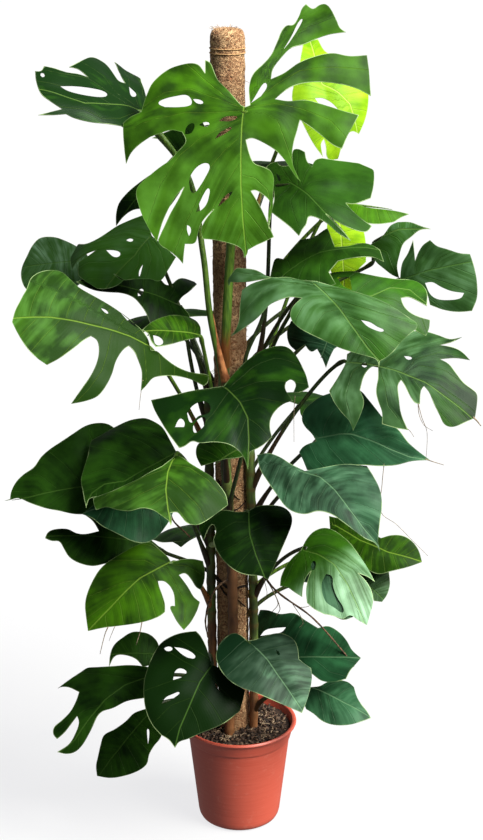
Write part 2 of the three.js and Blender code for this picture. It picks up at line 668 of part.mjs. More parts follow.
    face: [0, -0.75, 0.65], droop: 45, curl: 35, half: 120, stem: "stem_front", node: 590,
    left: [[10, 30], [40, 60], [90, 90], [130, 80], [150, 40]],
    right: [[30, 20], [60, 50], [90, 110], [90, 140], [120, 120], [140, 40]],
  },
  {
    name: "heart_left", tone: "leaf_dark", at: [-110, -110, 785], tip: [-265, -160, 710],
    face: [-0.2, -0.7, 0.7], droop: 45, fold: 6, curl: 30, half: 90, stem: "stem_left", node: 600,
    left: [[10, 20], [40, 40], [90, 30], [140, 20]],
    right: [[-10, 30], [0, 80], [20, 120], [80, 140], [140, 90], [170, 50]],
  },
  {
    name: "heart_far_left", tone: "leaf_dark", at: [-205, -30, 760], tip: [-410, -80, 685],
    face: [-0.1, -0.8, 0.6], droop: 30, curl: 20, half: 90, stem: "stem_left", node: 560,
    left: [[10, 20], [50, 80], [110, 80], [160, 50], [200, 10]],
    right: [[0, 20], [20, 60], [80, 70], [150, 50], [200, 20]],
  },
  {
    name: "left_blue", tone: "leaf_blue", at: [-115, -90, 705], tip: [-275, -130, 680],
    face: [-0.1, -0.7, 0.7], droop: 30, curl: 20, half: 65, stem: "stem_left", node: 520,
    left: [[0, 20], [20, 60], [50, 80], [90, 80], [130, 50]],
    right: [[10, 20], [40, 40], [80, 40], [140, 20]],
  },
  {
    name: "left_low_bright", tone: "leaf_bright", at: [-120, -130, 585], tip: [-265, -200, 485],
    droop: 35, curl: 20, half: 100, stem: "stem_left", node: 440,
    left: [[-20, 10], [-50, 40], [-20, 60], [0, 70], "c", [20, 80], [50, 90], "c", [50, 40], [80, 60],
      [140, 40]],
    right: [[0, 20], [20, 40], [80, 70], [130, 60], [180, 30]],
  },
  {
    name: "left_low_dark", tone: "leaf_dark", at: [-145, -50, 580], tip: [-345, -80, 615],
    face: [-0.1, -0.6, 0.8], curl: 20, half: 60, stem: "stem_back", node: 420,
    left: [[0, 20], [40, 50], [110, 60], [160, 50], [190, 20]],
    right: [[10, 20], [100, 10], [170, 20]],
  },
  {
    name: "heart_centre", tone: "leaf_dark", at: [15, -150, 690], tip: [50, -220, 595],
    fold: 8, half: 70, stem: "stem_front", node: 540,
    left: [[-10, 20], [0, 50], [40, 70], [80, 50], [100, 20]],
    right: [[0, 20], [20, 50], [40, 70], [70, 70], [100, 40]],
  },
  {
    name: "pot_front", tone: "leaf_dark", at: [-50, -170, 405], tip: [-110, -270, 290],
    half: 90, stem: "stem_left", node: 310,
    left: [[0, 10], [20, 50], [20, 80], [60, 80], [110, 50]],
    right: [[-20, 10], [-60, 40], [-40, 80], "o", [-10, 110], [40, 110], "o", [70, 110], [120, 80],
      [150, 40]],
  },
  {
    name: "pot_left_long", tone: "leaf_dark", at: [-145, -90, 340], tip: [-335, -150, 215],
    face: [-0.2, -0.8, 0.6], droop: 35, half: 75, stem: "stem_left", node: 260,
    left: [[20, 20], [50, 20], [110, 10], [150, 10]],
    right: [[0, 30], [60, 70], [110, 100], [180, 110], "c", [180, 50], [230, 40], "c", [190, 10]],
  },
  {
    name: "pot_left_low", tone: "leaf_dark", at: [-155, -50, 260], tip: [-265, -90, 130],
    face: [-0.2, -0.8, 0.5], droop: 35, half: 60, stem: "stem_left", node: 222,
    left: [[10, 20], [30, 40], [90, 60], [140, 40]],
    right: [[10, 20], [50, 20], [120, 40], [150, 20]],
  },
  {
    name: "pot_left_back", tone: "leaf_dark", at: [-150, -20, 350], tip: [-245, -30, 355],
    face: [-0.1, -0.7, 0.7], droop: 30, curl: 20, half: 45, stem: "stem_back", node: 235,
    left: [[0, 20], [40, 30], [70, 10]],
    right: [[0, 20], [40, 40], [80, 20]],
  },
  {
    name: "left_big", tone: "leaf_bright", at: [-150, -150, 990], tip: [-375, -200, 1050],
    face: [-0.1, -0.75, 0.65], half: 110, stem: "stem_left", node: 745,
    left: [[-10, 10], [-60, 20], [-120, 10], [-40, 40], [0, 80], "d", [50, 40], [80, 90],
      [130, 130], [100, 80], "s", [130, 40], [180, 70], [220, 50]],
    right: [[10, 20], [50, 40], [130, 60], [180, 100], [220, 90], [230, 40]],
  },
  {
    name: "left_back_round", tone: "leaf_dark", at: [-260, 60, 1090], tip: [-385, 55, 1080],
    face: [-0.2, -0.8, 0.5], droop: 30, curl: 20, half: 60, stem: "stem_back", node: 800,
    left: [[10, 20], [60, 50], [120, 40]],
    right: [[10, 30], [50, 50], [90, 60], [120, 30]],
  },
  {
    name: "left_upper", tone: "leaf_green", at: [-154, -30, 1156], tip: [-218, -75, 1083],
    face: [-0.2, -0.7, 0.7], half: 90, stem: "stem_left", node: 860, via: [[-75, 5, 930], [-112, 22, 1030]],
    left: [[0, 20], [20, 60], "s", [30, 60], [50, 70], "s", [60, 60], [90, 40]],
    right: [[-20, 30], [-30, 60], [20, 70], "o", [40, 80], [80, 120], [120, 110], "o", [120, 90],
      [120, 50]],
  },
  {
    name: "left_upper_dark", tone: "leaf_dark", at: [-102, -5, 1024], tip: [-281, -40, 1076],
    face: [-0.1, -0.6, 0.8], half: 75, stem: "stem_left", node: 800,
    left: [[0, 20], [70, 60], "s", [100, 30], [140, 20], [190, 30]],
    right: [[10, 20], [50, 30], [120, 10], "o", [140, 20], [180, 20]],
  },
  {
    name: "small_bright", tone: "leaf_bright", at: [-65, -95, 995], tip: [-160, -140, 1015],
    face: [0, -0.6, 0.8], droop: 30, curl: 20, half: 40, stem: "stem_front", node: 750,
    left: [[10, 10], [40, 20], [70, 30], [90, 10]],
    right: [[0, 20], [10, 40], [70, 40]],
  },
  {
    name: "behind_top_left", tone: "leaf_dark", at: [-60, 60, 1330], tip: [-215, 40, 1160],
    face: [-0.3, -0.8, 0.4], droop: 35, half: 70, stem: "stem_back", node: 940,
    left: [[10, 30], [40, 50], [70, 40], "w", [100, 60], [160, 60], [180, 20]],
    right: [[0, 20], [40, 40], [80, 60], "s", [70, 10], [140, 20], [200, 20]],
  },
  {
    name: "right_back_high", tone: "leaf_bright", at: [180, 50, 1195], tip: [300, 40, 1180],
    face: [0.1, -0.7, 0.7], droop: 30, curl: 20, half: 40, stem: "stem_back", node: 900,
    left: [[0, 20], [40, 10], [80, 10]],
    right: [[10, 20], [40, 40], [90, 30]],
  },
  {
    name: "right_dark_back", tone: "leaf_dark", at: [165, 10, 975], tip: [140, 0, 910],
    face: [0.1, -0.9, 0.3], droop: 30, curl: 20, half: 35, stem: "stem_back", node: 720,
    left: [[10, 20], [40, 20], [60, 20]],
    right: [[10, 20], [40, 40], [60, 20]],
  },
  {
    name: "under_centre", tone: "leaf_green", at: [0, -100, 790], tip: [-60, -125, 755],
    face: [0, -0.7, 0.7], droop: 30, curl: 20, half: 45, stem: "stem_front", node: 640,
    left: [[10, 30], [40, 40], [60, 20]],
    right: [[10, 20], [50, 40], [70, 30]],
  },
];

// Margins, as shares of the length and of half the width, for the leaves behind the pole
const CUT_MARGIN = [
  [-0.1, 0.1], [-0.25, 0.6], [-0.1, 0.9], "c", [-0.02, 0.95], [0.3, 1], "c", [0.4, 0.97], [0.65, 0.75],
  "c", [0.72, 0.62], [0.9, 0.3],
];
const HEART_MARGIN = [[-0.08, 0.1], [-0.2, 0.45], [-0.08, 0.85], [0.2, 1], [0.5, 0.82], [0.8, 0.35]];
const BACK_LEAVES = [
  {
    name: "back_high", tone: "leaf_green", margin: CUT_MARGIN,
    at: [60, 150, 1250], tip: [90, 340, 1150], node: 990,
  },
  {
    name: "back_left", tone: "leaf_dark", margin: CUT_MARGIN,
    at: [-110, 170, 960], tip: [-240, 320, 860], node: 700,
  },
  {
    name: "back_right", tone: "leaf_dark", margin: CUT_MARGIN,
    at: [120, 140, 800], tip: [270, 280, 700], node: 580,
  },
  {
    name: "back_low", tone: "leaf_green", margin: HEART_MARGIN,
    at: [-60, 140, 540], tip: [-120, 310, 430], node: 320,
  },
];
const BACK_HALF = 110;
const BACK_LENGTH = 220;

// A back leaf's row in the form of the others; it faces up and away from the pole
function backRow(row) {
  const sized = (p) => (typeof p === "string" ? p : [p[0] * BACK_LENGTH, p[1] * BACK_HALF]);
  const margin = row.margin.map(sized);
  const face = [row.tip[0] - row.at[0], row.tip[1] - row.at[1], BACK_LENGTH];
  const bends = { droop: 50, fold: 6, curl: 30, half: BACK_HALF, stem: "stem_back" };
  return { ...row, ...bends, face, left: margin, right: [...margin] };
}

const TONES = {
  leaf_new: 0x9ccc3c,
  leaf_bright: 0x5b9632,
  leaf_green: 0x356f2c,
  leaf_dark: 0x1f4a22,
  leaf_blue: 0x3b6b4c,
};

function standard(color, roughness) {
  return new THREE.MeshStandardMaterial({ color, roughness, metalness: 0 });
}

const plant = new THREE.Group();
function addPiece(name, solid, material) {
  const mesh = new THREE.Mesh(geometryOf(solid), material);
  mesh.name = name;
  plant.add(mesh);
}

const stemMaterial = standard(0x5f7d33, 0.6);
addPiece("pot", makePot(), standard(0xb4492f, 0.55));
addPiece("soil", makeSoil(), standard(0x3a281c, 1));
addPiece("pole_stake", poleBar(STAKE_R, POLE_FOOT, STAKE_TOP, STAKE_SIDES), standard(0xa57b4a, 0.9));
addPiece("pole_coir", makeCoir(), standard(0x7d5433, 0.95));
CORD_HEIGHTS.forEach((z, i) => addPiece(`pole_cord_${i + 1}`, makeCord(z), standard(0xc9a06a, 0.9)));
for (const [name, root] of Object.entries(ROOTS)) addPiece(name, makeRoot(root), standard(0x4a3524, 0.9));
for (const [name, stem] of Object.entries(STEMS)) addPiece(name, stemTube(stem, 0), stemMaterial);
[...LEAVES, ...BACK_LEAVES.map(backRow)].forEach((row, i) => {
  const leaf = { ...USUAL, seed: i + 1, ...row };
  addPiece(`leaf_${leaf.name}`, makeLeaf(leaf), standard(TONES[leaf.tone], 0.4));
});

export default plant;
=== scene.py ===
# A potted swiss cheese plant (Monstera deliciosa) trained up a coir pole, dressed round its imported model.
import math
import random

import bpy
import numpy as np
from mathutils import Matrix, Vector, geometry, noise


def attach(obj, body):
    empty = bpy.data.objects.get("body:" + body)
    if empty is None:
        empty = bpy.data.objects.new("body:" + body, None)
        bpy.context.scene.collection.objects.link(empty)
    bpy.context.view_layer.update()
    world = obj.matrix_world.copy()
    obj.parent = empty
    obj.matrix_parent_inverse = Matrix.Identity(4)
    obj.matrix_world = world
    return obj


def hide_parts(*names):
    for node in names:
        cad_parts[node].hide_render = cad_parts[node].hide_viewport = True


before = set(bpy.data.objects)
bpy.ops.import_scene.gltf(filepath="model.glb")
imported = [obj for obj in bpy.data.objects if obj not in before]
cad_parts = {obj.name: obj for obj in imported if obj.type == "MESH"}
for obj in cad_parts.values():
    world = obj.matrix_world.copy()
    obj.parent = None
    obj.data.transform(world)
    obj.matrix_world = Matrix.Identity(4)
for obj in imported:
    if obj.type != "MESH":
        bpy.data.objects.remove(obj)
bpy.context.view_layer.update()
bpy.ops.object.select_all(action="DESELECT")
random.seed(7)
mm = 0.001  # sizes below are in millimetres, and meshes in metres
print("frame loaded:", len(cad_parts), "nodes")

# The camera stands where the photograph was taken
shot = {
    "place": (4.5, -2910, 1785),  # mm
    "pitch": 18.53,  # degrees below level
    "lens": 72.6,  # mm, and so is the sensor
    "sensor": 36,
    "frame": (483, 840),  # the photograph's size in pixels
}
eye = np.array(shot["place"], float)
pitch = math.radians(shot["pitch"])
viewAhead = np.array([0, math.cos(pitch), -math.sin(pitch)])
viewUp = np.array([0, math.sin(pitch), math.cos(pitch)])
viewMiddle = np.array(shot["frame"]) / 2
focal = shot["lens"] / shot["sensor"] * max(shot["frame"])  # pixels


# Where points in mm are seen, in the photograph's pixels
def pixelsOf(points):
    away = points - eye
    depth = away @ viewAhead
    right = viewMiddle[0] + focal * away[:, 0] / depth
    down = viewMiddle[1] - focal * (away @ viewUp) / depth
    return np.stack([right, down], axis=1)


# Materials


# A colour from its hex digits, in linear light
def linear(hexColour):
    channels = [int(hexColour[i:i + 2], 16) / 255 for i in (0, 2, 4)]
    straight = [c / 12.92 if c <= 0.04045 else ((c + 0.055) / 1.055) ** 2.4 for c in channels]
    return (*straight, 1)


# Adds one shader node and gives one of its outputs. Inputs are values or the sockets that feed them, and
# settings are its own properties. A Mix of colours has its share at input 0, its two colours at 6 and 7 and
# its result at output 2.
def addNode(tree, kind, inputs=None, output=0, **settings):
    node = tree.nodes.new("ShaderNode" + kind)
    for name, value in settings.items():
        setattr(node, name, value)
    for name, value in (inputs or {}).items():
        if isinstance(value, bpy.types.NodeSocket):
            tree.links.new(value, node.inputs[name])
        else:
            node.inputs[name].default_value = value
    return node.outputs[output]


smooth = {"interpolation_type": "SMOOTHSTEP"}
times = {"operation": "MULTIPLY"}
colours = {"output": 2, "data_type": "RGBA"}


# A material with its node tree, its surface and the place on the object, which may be stretched
def newMaterial(name, roughness, stretch=(1, 1, 1), **shader):
    material = bpy.data.materials.new(name)
    material.use_nodes = True
    tree = material.node_tree
    surface = tree.nodes["Principled BSDF"]
    surface.inputs["Roughness"].default_value = roughness
    for socket, value in shader.items():
        surface.inputs[socket.replace("_", " ")].default_value = value
    place = addNode(tree, "TexCoord", output="Object")
    return material, tree, surface, addNode(tree, "Mapping", {"Vector": place, "Scale": stretch})


# The last step of a material: its colour, and its relief, depth mm high
def cover(tree, surface, colour, height, depth):
    tree.links.new(colour, surface.inputs["Base Color"])
    bump = addNode(tree, "Bump", {"Height": height, "Distance": depth * mm, "Strength": 1.0})
    tree.links.new(bump, surface.inputs["Normal"])


# Living leaf: a waxy skin over wet green tissue, glossy in soft light, paler and duller below. Each has a
# dark and a light green, the colour of its veins, its underside's dark green, and its skin's roughness and
# specular level.
leafFinish = {
    "leaf_new": ("5c8c0c", "98c01c", "c8dc70", "9fbf4c", 0.45, 0.08),
    "leaf_bright": ("1a3406", "43740c", "86a83c", "44662a", 0.46, 0.05),
    "leaf_green": ("0c2606", "2e5a0e", "6a8c3c", "385828", 0.42, 0.1),
    "leaf_dark": ("0a1e05", "284e10", "4c702c", "284020", 0.44, 0.05),
    # The blue leaves' light green is partly their own colour and partly painted sheen, the cool light off
    # their wax laid into it
    "leaf_blue": ("0c2412", "2a5c38", "6c9068", "34503c", 0.42, 0.07),
}
leafPattern = {
    "underRoughness": 0.55,
    "paintedSheen": "a6d0ac",  # pale colour of the sheen painted on some leaves
    "rim": "bcd494",  # the pale hard edge of a blade
    "midribWidth": 1.7,
    "sideWidth": 0.9,
    "rimWidth": 1.4,
    "midribShare": 0.4,  # how strongly its colour shows
    "sideShare": 0.12,
    "rimPatch": 45,  # size of the stretches where the edge is paler
    "patch": 55,  # size of the lighter and darker areas
    "patchShare": 0.55,
    "streaks": 2.4,  # lighter and darker bands from one side vein to the next
    "streakShare": 0.4,
    "ridges": 9,  # fine ribs from one side vein to the next
    "ridgeHeight": 0.04,
    "grain": 3,  # leaf cells, drawn as coarse as they need to show
    "grainHeight": 0.25,
    "depth": 0.6,
}


# The pattern follows what each point of a blade carries: its distance in mm from the midrib and the rim,
# how many side veins it is past and how far they stand apart, its tone, partly painted shade, and its
# painted sheen
def leafMaterial(slot, isUnder):
    deep, pale, vein, under, roughness, specular = leafFinish[slot]
    if isUnder:
        deep, roughness = under, leafPattern["underRoughness"]
    name = slot.replace("_", " ") + (" underside" if isUnder else " waxy leaf")
    material, tree, surface, place = newMaterial(name, roughness, Specular_IOR_Level=specular)
    labels = ("phase", "spread", "rim", "tone", "paintedSheen", "mid")
    phase, spread, rim, tone, paintedSheen, mid = (
        addNode(tree, "Attribute", output="Fac", attribute_name=label) for label in labels)
    mid = addNode(tree, "Math", {0: mid}, operation="ABSOLUTE")
    # Distance from the nearest side vein
    turn = addNode(tree, "Math", {0: phase, 1: 0.5})
    turn = addNode(tree, "Math", {0: turn}, operation="FRACT")
    off = addNode(tree, "Math", {0: turn, 1: -0.5})
    off = addNode(tree, "Math", {0: off}, operation="ABSOLUTE")
    away = addNode(tree, "Math", {0: off, 1: spread}, **times)
    # Lines along side veins, midrib and rim: their widths, and the share of it that shows in full
    widths = [(away, "sideWidth", 0.3), (mid, "midribWidth", 0.4), (rim, "rimWidth", 0.3)]
    lines = []
    for distance, label, full in widths:
        width = leafPattern[label]
        limits = {"From Min": width * full, "From Max": width, "To Min": 1, "To Max": 0}
        lines.append(addNode(tree, "MapRange", {"Value": distance, **limits}, **smooth))
    sideLine, midLine, rimLine = lines
    faded = addNode(tree, "MapRange", {"Value": mid, "From Min": 1, "From Max": 6}, **smooth)
    sideLine = addNode(tree, "Math", {0: sideLine, 1: faded}, **times)  # faded where it meets the midrib
    scales = {name: 1 / (leafPattern[name] * mm) for name in ("rimPatch", "patch", "grain")}
    stretches = addNode(tree, "TexNoise", {"Vector": place, "Scale": scales["rimPatch"], "Detail": 3})
    limits = {"From Min": 0.42, "From Max": 0.62, "To Min": 0.08, "To Max": 0.5}
    rimShare = addNode(tree, "MapRange", {"Value": stretches, **limits}, **smooth)
    # Bands that run with the side veins, and wider patches
    across = addNode(tree, "Math", {0: phase, 1: leafPattern["streaks"]}, **times)
    outward = addNode(tree, "Math", {0: mid, 1: 1 / leafPattern["patch"]}, **times)
    bandPlace = addNode(tree, "CombineXYZ", {"X": across, "Y": outward})
    streaks = addNode(tree, "TexNoise", {"Vector": bandPlace, "Scale": 1.0, "Detail": 2})
    bands = addNode(tree, "MapRange", {"Value": streaks, "From Min": 0.28, "From Max": 0.72}, **smooth)
    blotches = addNode(tree, "TexNoise", {"Vector": place, "Scale": scales["patch"], "Detail": 3})
    patches = addNode(tree, "MapRange", {"Value": blotches, "From Min": 0.3, "From Max": 0.7}, **smooth)
    banded = addNode(tree, "Math", {0: bands, 1: leafPattern["streakShare"]}, **times)
    patched = addNode(tree, "Math", {0: patches, 1: leafPattern["patchShare"]}, **times)
    mixed = addNode(tree, "Math", {0: banded, 1: patched})
    # Tone moves the leaf towards its dark or light green: partly its own colour, partly painted shade on
    # leaves low down or turned from the key light and painted light on those facing it
    toned = addNode(tree, "Math", {0: mixed, 1: tone})
    light = addNode(tree, "Clamp", {"Value": toned})
    skin = addNode(tree, "Mix", {0: light, 6: linear(deep), 7: linear(pale)}, **colours)
    # Painted sheen: a pale wax-like colour laid over the green in streaks along the side veins, standing in
    # for the light that a glossy leaf reflects
    limits = {"From Min": 0.35, "From Max": 0.7, "To Min": 0.25, "To Max": 1.2}
    streaky = addNode(tree, "MapRange", {"Value": streaks, **limits}, **smooth)
    patchy = addNode(tree, "MapRange", {"Value": patches, "To Min": 0.4}, **smooth)
    paintedSheenShare = addNode(tree, "Math", {0: streaky, 1: patchy}, **times)
    paintedSheenShare = addNode(tree, "Math", {0: paintedSheen, 1: paintedSheenShare}, **times)
    skin = addNode(tree, "Mix", {0: paintedSheenShare, 6: skin, 7: linear(leafPattern["paintedSheen"])}, **colours)
    layers = [(sideLine, leafPattern["sideShare"], vein), (midLine, leafPattern["midribShare"], vein),
              (rimLine, rimShare, leafPattern["rim"])]
    for line, share, colour in layers:
        shown = addNode(tree, "Math", {0: line, 1: share}, **times)
        skin = addNode(tree, "Mix", {0: shown, 6: skin, 7: linear(colour)}, **colours)
    # Relief: fine ribs, cells, and veins that lie in the upper side and stand out below
    turn = addNode(tree, "Math", {0: phase, 1: leafPattern["ridges"] * 2 * math.pi}, **times)
    ridges = addNode(tree, "Math", {0: turn}, operation="SINE")
    ridges = addNode(tree, "Math", {0: ridges, 1: leafPattern["ridgeHeight"]}, **times)
    grain = addNode(tree, "TexNoise", {"Vector": place, "Scale": scales["grain"], "Detail": 3})
    grain = addNode(tree, "Math", {0: grain, 1: leafPattern["grainHeight"]}, **times)
    fine = addNode(tree, "Math", {0: grain, 1: ridges})
    lines = addNode(tree, "Math", {0: sideLine, 1: midLine}, operation="MAXIMUM")
    height = addNode(tree, "Math", {0: fine, 1: lines}, operation="ADD" if isUnder else "SUBTRACT")
    cover(tree, surface, skin, height, leafPattern["depth"])
    return material


leafMaterials = {slot: (leafMaterial(slot, False), leafMaterial(slot, True)) for slot in leafFinish}


# Petiole: a smooth fleshy stalk, streaked along its length, its foot wrapped in a drying brown sheath
def petioleMaterial(name, green, dark, brown):
    material, tree, surface, place = newMaterial(name, 0.42, (1, 1, 0.12))
    mottle = addNode(tree, "TexNoise", {"Vector": place, "Scale": 1 / (4 * mm), "Detail": 3})
    streaks = addNode(tree, "MapRange", {"Value": mottle, "From Min": 0.35, "From Max": 0.7}, **smooth)
    stalk = addNode(tree, "Mix", {0: streaks, 6: linear(green), 7: linear(dark)}, **colours)
    along = addNode(tree, "Attribute", output="Fac", attribute_name="along")
    ragged = addNode(tree, "TexNoise", {"Vector": place, "Scale": 1 / (9 * mm), "Detail": 3})
    ragged = addNode(tree, "Math", {0: ragged, 1: 0.25}, **times)
    ragged = addNode(tree, "Math", {0: along, 1: ragged})
    limits = {"From Min": 0.2, "From Max": 0.3, "To Min": 1, "To Max": 0}
    dry = addNode(tree, "MapRange", {"Value": ragged, **limits}, **smooth)
    mixed = addNode(tree, "Mix", {0: dry, 6: stalk, 7: linear(brown)}, **colours)
    cover(tree, surface, mixed, streaks, 0.5)
    return material


petioleGreen = petioleMaterial("petiole", "5c7c22", "3a5c14", "8a5628")
petioleOlive = petioleMaterial("old petiole", "354618", "1e2e0e", "38260f")


# Stem: green skin with brown scars where old leaves were, and dull brown bark where the stem is old
def stemMaterial():
    material, tree, surface, place = newMaterial("climbing stem", 0.5, (1, 1, 0.3))
    mottle = addNode(tree, "TexNoise", {"Vector": place, "Scale": 1 / (22 * mm), "Detail": 5})
    patches = addNode(tree, "MapRange", {"Value": mottle, "From Min": 0.4, "From Max": 0.6}, **smooth)
    green = addNode(tree, "Mix", {0: patches, 6: linear("66803a"), 7: linear("3c4a20")}, **colours)
    wood = addNode(tree, "Mix", {0: patches, 6: linear("8a5c38"), 7: linear("5a3a22")}, **colours)
    woody = addNode(tree, "Attribute", output="Fac", attribute_name="woody")
    woody = addNode(tree, "MapRange", {"Value": woody, "From Min": 0.4, "From Max": 0.6}, **smooth)
    skin = addNode(tree, "Mix", {0: woody, 6: green, 7: wood}, **colours)
    scars = addNode(tree, "Attribute", output="Fac", attribute_name="scar")
    scars = addNode(tree, "Math", {0: scars, 1: 0.6}, **times)
    scarred = addNode(tree, "Mix", {0: scars, 6: skin, 7: linear("6b4a28")}, **colours)
    rough = addNode(tree, "TexNoise", {"Vector": place, "Scale": 1 / (3 * mm), "Detail": 4})
    cover(tree, surface, scarred, rough, 0.8)
    return material


# Matted coconut fibre held by a fine net: short brown strands in all directions, with painted shade
# darkening the pits between them
def coirMaterial():
    material, tree, surface, place = newMaterial("matted coir", 0.95)
    curly = {"Vector": place, "Scale": 1 / (9 * mm), "Detail": 6, "Roughness": 0.72, "Distortion": 2.2}
    strands = addNode(tree, "TexNoise", curly)
    tone = addNode(tree, "MapRange", {"Value": strands, "From Min": 0.36, "From Max": 0.62}, **smooth)
    fibre = addNode(tree, "Mix", {0: tone, 6: linear("8a5630"), 7: linear("ecc08c")}, **colours)
    # Painted shade: the pits between the tufts are darkened in colour, as well as sunk in the relief
    cells = addNode(tree, "TexVoronoi", {"Vector": place, "Scale": 1 / (9 * mm)})
    limits = {"From Min": 0.1, "From Max": 0.26, "To Min": 0.8, "To Max": 0}
    pitShade = addNode(tree, "MapRange", {"Value": cells, **limits}, **smooth)
    pitShaded = addNode(tree, "Mix", {0: pitShade, 6: fibre, 7: linear("4a2a16")}, **colours)
    stains = addNode(tree, "TexNoise", {"Vector": place, "Scale": 1 / (60 * mm), "Detail": 3})
    stains = addNode(tree, "MapRange", {"Value": stains, "From Min": 0.35, "From Max": 0.65}, **smooth)
    stains = addNode(tree, "Math", {0: stains, 1: 0.4}, **times)
    stained = addNode(tree, "Mix", {0: stains, 6: pitShaded, 7: linear("8c5432")}, **colours)
    hollow = addNode(tree, "MapRange", {"Value": cells, "From Min": 0.1, "From Max": 0.35}, **smooth)
    cover(tree, surface, stained, addNode(tree, "Math", {0: tone, 1: hollow}), 1.6)
    return material


# Dry plant matter, such as twisted jute, bark, peat and dead roots: dull all over, and mottled in two
# shades in patches about size mm wide
def fibreMaterial(name, light, dark, size=6):
    material, tree, surface, place = newMaterial(name, 0.85)
    mottle = addNode(tree, "TexNoise", {"Vector": place, "Scale": 1 / (size * mm), "Detail": 3})
    tone = addNode(tree, "MapRange", {"Value": mottle, "From Min": 0.35, "From Max": 0.65}, **smooth)
    shades = addNode(tree, "Mix", {0: tone, 6: linear(dark), 7: linear(light)}, **colours)
    cover(tree, surface, shades, tone, 0.4)
    return material


# Injection-moulded polypropylene in terracotta: satin, with faint rings from the mould and dusty scuffs
def potMaterial():
    material, tree, surface, place = newMaterial("moulded polypropylene", 0.48, Specular_IOR_Level=1.0)
    level = addNode(tree, "Mapping", {"Vector": place, "Scale": (0.05, 0.05, 1)})
    rings = addNode(tree, "TexNoise", {"Vector": level, "Scale": 1 / (3 * mm), "Detail": 2})
    grime = {"Vector": place, "Scale": 1 / (14 * mm), "Detail": 6, "Roughness": 0.65}
    scuffs = addNode(tree, "TexNoise", grime)
    scuffs = addNode(tree, "MapRange", {"Value": scuffs, "From Min": 0.55, "From Max": 0.8}, **smooth)
    scuffs = addNode(tree, "Math", {0: scuffs, 1: 0.25}, **times)
    body = addNode(tree, "Mix", {0: rings, 6: linear("c04830"), 7: linear("d05e48")}, **colours)
    dusty = addNode(tree, "Mix", {0: scuffs, 6: body, 7: linear("eaa692")}, **colours)
    cover(tree, surface, dusty, rings, 0.25)
    return material


# Sawn softwood of the stake: dull and pale, with its grain along the pole
def stakeMaterial():
    material, tree, surface, place = newMaterial("sawn softwood", 0.8, (1, 1, 0.06))
    grain = addNode(tree, "TexNoise", {"Vector": place, "Scale": 1 / (3 * mm), "Detail": 4})
    tone = addNode(tree, "MapRange", {"Value": grain, "From Min": 0.35, "From Max": 0.65}, **smooth)
    wood = addNode(tree, "Mix", {0: tone, 6: linear("8c6238"), 7: linear("b08a58")}, **colours)
    cover(tree, surface, wood, grain, 0.4)
    return material


# Meshes


# A piece from points in mm; attributes are numbers for each point
def newPiece(name, points, faces, attributes=None):
    mesh = bpy.data.meshes.new(name)
    mesh.from_pydata([tuple(p) for p in np.asarray(points) * mm], [], faces)
    for label, values in (attributes or {}).items():
        layer = mesh.attributes.new(label, "FLOAT", "POINT")
        layer.data.foreach_set("value", np.asarray(values, np.float32))
    piece = bpy.data.objects.new(name, mesh)
    bpy.context.collection.objects.link(piece)
    mesh.shade_smooth()
    return piece


# Selects some pieces and nothing else, the first one active
def choose(*pieces):
    bpy.ops.object.select_all(action="DESELECT")
    for piece in pieces:
        piece.select_set(True)
    bpy.context.view_layer.objects.active = pieces[0]


# Pieces made one
def joined(pieces, name):
    choose(*pieces)
    if len(pieces) > 1:
        bpy.ops.object.join()
    pieces[0].name = name
    pieces[0].data.name = name
    return pieces[0]


# A piece with a modifier applied
def applied(piece, kind, **settings):
    choose(piece)
    modifier = piece.modifiers.new(kind, kind)
    for key, value in settings.items():
        setattr(modifier, key, value)
    bpy.ops.object.modifier_apply(modifier=modifier.name)
    return piece


# A finished piece: it rides on the part and stands for a node of it, if one is named
def fitted(piece, node, slot, *materials):
    for material in materials:
        piece.data.materials.append(material)
    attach(piece, "root")
    if node:
        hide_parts(*([node] if isinstance(node, str) else node))
    return piece


# A smooth line through points, with tangents along the neighbours
def smoothLine(points, steps):
    points = [np.array(p, float) for p in points]
    line = []
    for i in range(len(points) - 1):
        a, b = points[i], points[i + 1]
        before = points[i - 1] if i else a - (b - a)
        after = points[i + 2] if i + 2 < len(points) else b + (b - a)
        size = np.linalg.norm(b - a)
        start = (b - before) / max(np.linalg.norm(b - before), 1e-6) * size
        end = (after - a) / max(np.linalg.norm(after - a), 1e-6) * size
        for k in range(steps):
            t = k / steps
            line.append(hermite(a, b, start, end, t))
    line.append(points[-1])
    return np.array(line)


# The curve from a to b that leaves and arrives at the given speeds, at shares t of its way
def hermite(a, b, start, end, t):
    near = (2 * t ** 3 - 3 * t ** 2 + 1) * a + (t ** 3 - 2 * t ** 2 + t) * start
    return near + (3 * t ** 2 - 2 * t ** 3) * b + (t ** 3 - t ** 2) * end


# The points and faces of a closed round tube along a line
def tubeParts(line, radii, sides=10, ovalness=1):
    line = np.asarray(line, float)
    radii = np.broadcast_to(radii, len(line))
    ahead = np.gradient(line, axis=0)
    ahead /= np.linalg.norm(ahead, axis=1)[:, None]
    isLevel = abs(ahead[0][2]) < 0.9
    across = np.cross(ahead[0], (0.31, 0.2, 0.93) if isLevel else (1, 0, 0))  # any way but the line's own
    points = []
    turns = np.arange(sides) * 2 * math.pi / sides
    for i, centre in enumerate(line):
        across = across - ahead[i] * (across @ ahead[i])
        across /= np.linalg.norm(across)
        third = np.cross(ahead[i], across)
        ring = np.outer(np.cos(turns), across) + np.outer(np.sin(turns) * ovalness, third)
        points.extend(centre + ring * radii[i])
    faces = [tuple(range(sides))[::-1]]
    for i in range(len(line) - 1):
        for k in range(sides):
            a, b = i * sides + k, i * sides + (k + 1) % sides
            faces.append((a, b, b + sides, a + sides))
    faces.append(tuple(range((len(line) - 1) * sides, len(line) * sides)))
    return np.array(points), faces


